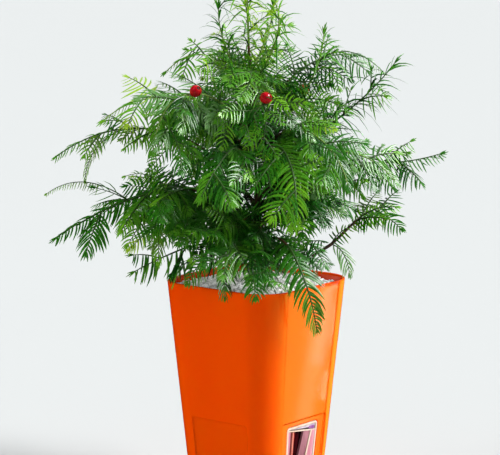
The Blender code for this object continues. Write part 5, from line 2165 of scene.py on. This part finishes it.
def add_berry(heap: Heap, centre: Vector, way: Vector, radius: float) -> None:
    """Add a berry: a fleshy cup, open at its far end, with a dark seed inside.

    Args:
        heap: where it goes.
        centre: its middle.
        way: from its stalk to its open end.
        radius: its radius.
    """
    profile = [(-1.0, 0.06), (-0.97, 0.28), (-0.86, 0.55), (-0.62, 0.82), (-0.30, 0.97), (0.05, 1.0),
               (0.38, 0.93), (0.66, 0.76), (0.85, 0.54), (0.92, 0.40), (0.88, 0.30), (0.70, 0.25), (0.4, 0.2)]
    around = 28
    across = way.orthogonal().normalized()
    other = way.cross(across)
    corners = []
    for along, wide in profile:
        for step in range(around):
            turn = math.tau * step / around
            out = (across * math.cos(turn) + other * math.sin(turn)) * wide
            corners.append(centre + (way * along + out) * radius)
    faces = band(len(profile), around).tolist()
    corners += [centre + way * profile[0][0] * radius, centre + way * profile[-1][0] * radius]
    last = (len(profile) - 1) * around
    for step in range(around):
        after = (step + 1) % around
        faces.append((len(corners) - 2, after, step))
        faces.append((last + step, last + after, len(corners) - 1))
    heap.add(np.array(corners), np.array(faces), 0)
    builder = bmesh.new()
    bmesh.ops.create_uvsphere(builder, u_segments=14, v_segments=10, radius=radius * 0.30)
    bmesh.ops.triangulate(builder, faces=builder.faces)
    bmesh.ops.translate(builder, vec=centre + way * radius * 0.62, verts=builder.verts)
    builder.verts.index_update()
    seed = np.array([v.co for v in builder.verts])
    heap.add(seed, np.array([[v.index for v in f.verts] for f in builder.faces]), 1)
    builder.free()


# ---------------------------------------------------------------- studio


@dataclass(frozen=True)
class Sheen:
    """A panel light that only shows as a sheen on glossy surfaces, mirrored in the pot's window face.

    It stands so far across and so high, has a width and a height, and so much
    radiance in its tint.
    """

    name: str
    across: float
    level: float
    wide: float
    high: float
    radiance: float
    tint: Colour


@dataclass(frozen=True)
class Screen:
    """One of the panel lights round the pot's near corner: its bearing in degrees and its radiance."""

    bearing: float
    radiance: float


@dataclass
class Studio:
    """A plain pale floor, soft lights and the camera at the photograph's angle."""

    azimuth: float = -51.5
    elevation: float = 10.3
    distance: float = 2.0
    focal: float = 2273.0
    offset_x: float = 6.4
    offset_y: float = 50.7
    surround: float = 0.30
    key: float = 5.3
    fill: float = 1.9
    down: float = 0.8
    sky: float = 4.5
    mirrored: float = -37.2
    face: float = -0.055
    far: float = 0.45
    screen_far: float = 1.0

    SCREENS = (
        Screen(6, 1.0), Screen(-8, 1.5), Screen(-22, 2.0), Screen(-54, 2.3), Screen(-68, 1.9), Screen(-82, 1.2),
        Screen(-96, 0.7), Screen(-110, 0.4), Screen(-124, 0.2),
    )
    SHEENS = (
        Sheen("veil", -0.0035, -0.03, 0.097, 0.26, 2.15, (1.0, 1.0, 0.12)),
        Sheen("stripe_wide", 0.0195, -0.03, 0.0155, 0.26, 1.5, (1.0, 1.0, 0.6)),
        Sheen("stripe_upper", 0.0252, 0.05, 0.0127, 0.13, 1.5, (1.0, 1.0, 1.0)),
        Sheen("stripe_top", 0.0385, 0.034, 0.005, 0.042, 5.5, (1.0, 1.0, 0.8)),
        Sheen("stripe_low", 0.0358, -0.034, 0.004, 0.032, 5.0, (1.0, 1.0, 0.8)),
    )

    def back(self) -> Vector:
        """The direction from the object to the camera."""
        a, e = math.radians(self.azimuth), math.radians(self.elevation)
        return Vector((math.sin(a) * math.cos(e), -math.cos(a) * math.cos(e), math.sin(e)))

    def camera(self) -> None:
        """Set up the camera."""
        data = bpy.data.cameras.new("camera")
        camera = bpy.data.objects.new("camera", data)
        bpy.context.scene.collection.objects.link(camera)
        a = math.radians(self.azimuth)
        right = Vector((math.cos(a), math.sin(a), 0))
        back = self.back()
        up = back.cross(right)
        camera.location = Vector((0, 0, 0.2)) + back * self.distance
        look = (-back * self.focal - right * self.offset_x + up * self.offset_y).normalized()
        camera.rotation_euler = look.to_track_quat("-Z", "Y").to_euler()
        data.lens = 163.6
        data.sensor_width = 36
        data.clip_start, data.clip_end = 0.05, 200
        bpy.context.scene.camera = camera

    def floor(self, finish: bpy.types.Material) -> None:
        """Lay a wide round floor."""
        builder = bmesh.new()
        bmesh.ops.create_circle(builder, cap_ends=True, segments=96, radius=40.0)
        mesh = bpy.data.meshes.new("floor")
        builder.to_mesh(mesh)
        builder.free()
        floor = bpy.data.objects.new("floor", mesh)
        floor.location.z = -0.0002
        bpy.context.scene.collection.objects.link(floor)
        mesh.materials.append(finish)
        floor.visible_glossy = floor.visible_shadow = False

    def toward(self, way: Vector) -> Vector:
        """A direction given in the camera's right, its near side and up, in the scene's own axes."""
        a = math.radians(self.azimuth)
        right, near = Vector((math.cos(a), math.sin(a), 0)), Vector((math.sin(a), -math.cos(a), 0))
        return (right * way.x + near * way.y + Vector((0, 0, way.z))).normalized()

    def link_lamp(self, name: str, data: bpy.types.Light, place: Vector, way: Vector) -> bpy.types.Object:
        """Hang a lamp at a place so that it shines along a direction."""
        lamp = bpy.data.objects.new(name, data)
        bpy.context.scene.collection.objects.link(lamp)
        lamp.location = place
        lamp.rotation_euler = way.to_track_quat("-Z", "Y").to_euler()
        return lamp

    def hang_sheen(
        self, sheen: Sheen, place: Vector, way: Vector, receivers: Optional[bpy.types.Collection] = None
    ) -> None:
        """Hang a panel light that only shows on glossy surfaces.

        Args:
            sheen: the panel.
            place: its middle.
            way: which way it shines.
            receivers: the only pieces that it lights, or none for all.
        """
        data = bpy.data.lights.new(sheen.name, "AREA")
        data.shape, data.size, data.size_y = "RECTANGLE", sheen.wide, sheen.high
        data.energy, data.color = 4 * sheen.wide * sheen.high * sheen.radiance, sheen.tint
        panel = self.link_lamp(sheen.name, data, place, way)
        panel.visible_camera = panel.visible_diffuse = panel.visible_transmission = False
        if receivers:
            panel.light_linking.receiver_collection = receivers

    def soft_sun(self, name: str, strength: float, spread: float, way: Vector) -> bpy.types.Object:
        """A wide soft light from a direction given as toward() takes it.

        Args:
            name: its name.
            strength: its strength.
            spread: how wide it is, in degrees.
            way: where it comes from.

        Returns:
            The lamp.
        """
        data = bpy.data.lights.new(name, "SUN")
        data.energy, data.angle = strength, math.radians(spread)
        return self.link_lamp(name, data, Vector((0, 0, 1)), -self.toward(way))

    @staticmethod
    def group(name: str, pieces: Sequence[bpy.types.Object]) -> bpy.types.Collection:
        """A collection of the pieces that a lamp lights, or that shade it."""
        found = bpy.data.collections.new(name)
        for piece in pieces:
            found.objects.link(piece)
        return found

    def light(self, shell: bpy.types.Object, gravel: Sequence[bpy.types.Object]) -> None:
        """Set the soft surrounding light, the key and the fill, and the sheens.

        Args:
            shell: the pot's shell, which alone mirrors the panels round it.
            gravel: the gravel's pieces, which get some more light from above.
        """
        world = bpy.data.worlds.new("world")
        world.use_nodes = True
        world.node_tree.nodes["Background"].inputs["Color"].default_value = (0.97, 0.985, 1.0, 1.0)
        world.node_tree.nodes["Background"].inputs["Strength"].default_value = self.surround
        world.cycles_visibility.glossy = False
        bpy.context.scene.world = world
        self.soft_sun("key_light", self.key, 30, Vector((0.80, 0.16, 0.66)))
        fill = self.soft_sun("fill_light", self.fill, 60, Vector((-0.97, 0.06, 0.34)))
        fill.visible_glossy = False
        down = self.soft_sun("gravel_light", self.down, 20, Vector((0.1, 0.3, 0.9)))
        down.light_linking.receiver_collection = self.group("gravel_only", gravel)
        down.light_linking.blocker_collection = self.group("shades_the_gravel", [shell])
        turn = math.radians(self.mirrored)
        ahead, aside = Vector((math.cos(turn), math.sin(turn), 0)), Vector((-math.sin(turn), math.cos(turn), 0))
        pot_only = self.group("mirrors_the_panels", [shell])
        for number, sheen in enumerate(self.SHEENS):
            far = self.far - number * 0.004
            place = Vector((0, self.face, sheen.level)) + ahead * far + aside * sheen.across
            self.hang_sheen(sheen, place, -ahead, pot_only)
        for number, screen in enumerate(self.SCREENS):
            turn = math.radians(screen.bearing)
            ahead = Vector((math.cos(turn), math.sin(turn), 0))
            wide = self.screen_far * math.radians(14.2)
            panel = Sheen(f"screen_{number}", 0, 0, wide, 0.9, screen.radiance, (1.0, 1.0, 0.1))
            self.hang_sheen(panel, ahead * self.screen_far + Vector((0, 0, -0.22)), -ahead, pot_only)
        above = self.toward(Vector((0.25, -0.55, 0.8))) * 1.6
        sky = Sheen("sky_panel", 0, 0, 1.8, 1.4, self.sky / (4 * 1.8 * 1.4), (1.0, 1.0, 1.0))
        self.hang_sheen(sky, above, -above.normalized())
        bpy.context.scene.view_settings.view_transform = "Standard"


# ---------------------------------------------------------------- main


def main() -> None:
    """Build the pot, what it holds, the plant and the studio, in that order."""
    logging.basicConfig(level=logging.INFO, format="%(message)s")
    pot = Pot(material=OrangePlastic().make())
    shell = pot.shell()
    inserts = (
        # cream: partly a painted highlight along the clear plastic's edges.
        InsertPlastic("cream", paint(232, 204, 176), paint(250, 232, 214)),
        InsertPlastic("pink", paint(206, 122, 140), paint(236, 172, 184)),
        # salmon: a painted highlight on the window's dark red rib.
        InsertPlastic("salmon_highlight", paint(226, 120, 104), paint(244, 168, 144)),
        InsertPlastic("red", paint(96, 10, 8), paint(150, 28, 20)),
        # mauve: pink plastic, its milky paleness partly a painted reflection.
        InsertPlastic("mauve", paint(150, 96, 106), paint(190, 132, 142)),
        InsertPlastic("lilac", paint(196, 170, 196), paint(236, 220, 232)),
        InsertPlastic("purple", paint(128, 64, 132), paint(184, 124, 184)),
        # maroon: painted shade for the reservoir's dark inside, seen through the insert.
        InsertPlastic("maroon", paint(22, 4, 6), paint(58, 8, 14), 0.0),
    )
    WaterWindow(pot, {insert.name: insert.make() for insert in inserts}).build()
    stone = PaleStone().make()
    # The bed's dark finish is painted shade between the stones.
    bed = GravelBed(pot, material=stone, gap_shade=GravelGapShade().make())
    gravel = [bed.bed(), bed.stones()]
    for node, finish in (("wick_plate", DarkPlastic()), ("soil", Peat())):
        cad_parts[node].data.materials.clear()
        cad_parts[node].data.materials.append(finish.make())
        LOG.info("%s: %s", node, type(finish).__name__)
    bark = Bark().make()
    stem = Stem(material=bark)
    stem.build()
    foliage = Foliage(
        stem,
        bark=bark,
        twig_finishes=(
            Bark("young_bark", paint(52, 34, 24), paint(98, 70, 46), paint(140, 112, 78)).make(),
            TwigSkin("pale_twig", paint(90, 128, 44), paint(136, 166, 74)).make(),
            TwigSkin("green_twig", paint(30, 66, 18), paint(66, 102, 38)).make(),
        ),
        needle_finishes=[NeedleGreen(tint).make() for tint in Tint],
        berry_finishes=(BerrySkin().make(), Bark("seed", paint(34, 18, 12), paint(66, 36, 22), paint(98, 58, 36)).make()),
    )
    foliage.grow()
    foliage.boughs()
    for region in Region:
        foliage.twigs(region)
        foliage.needles(region)
    foliage.berries()
    studio = Studio()
    studio.camera()
    studio.floor(StudioPaper().make())
    studio.light(shell, gravel)


if __name__ == "__main__":
    main()
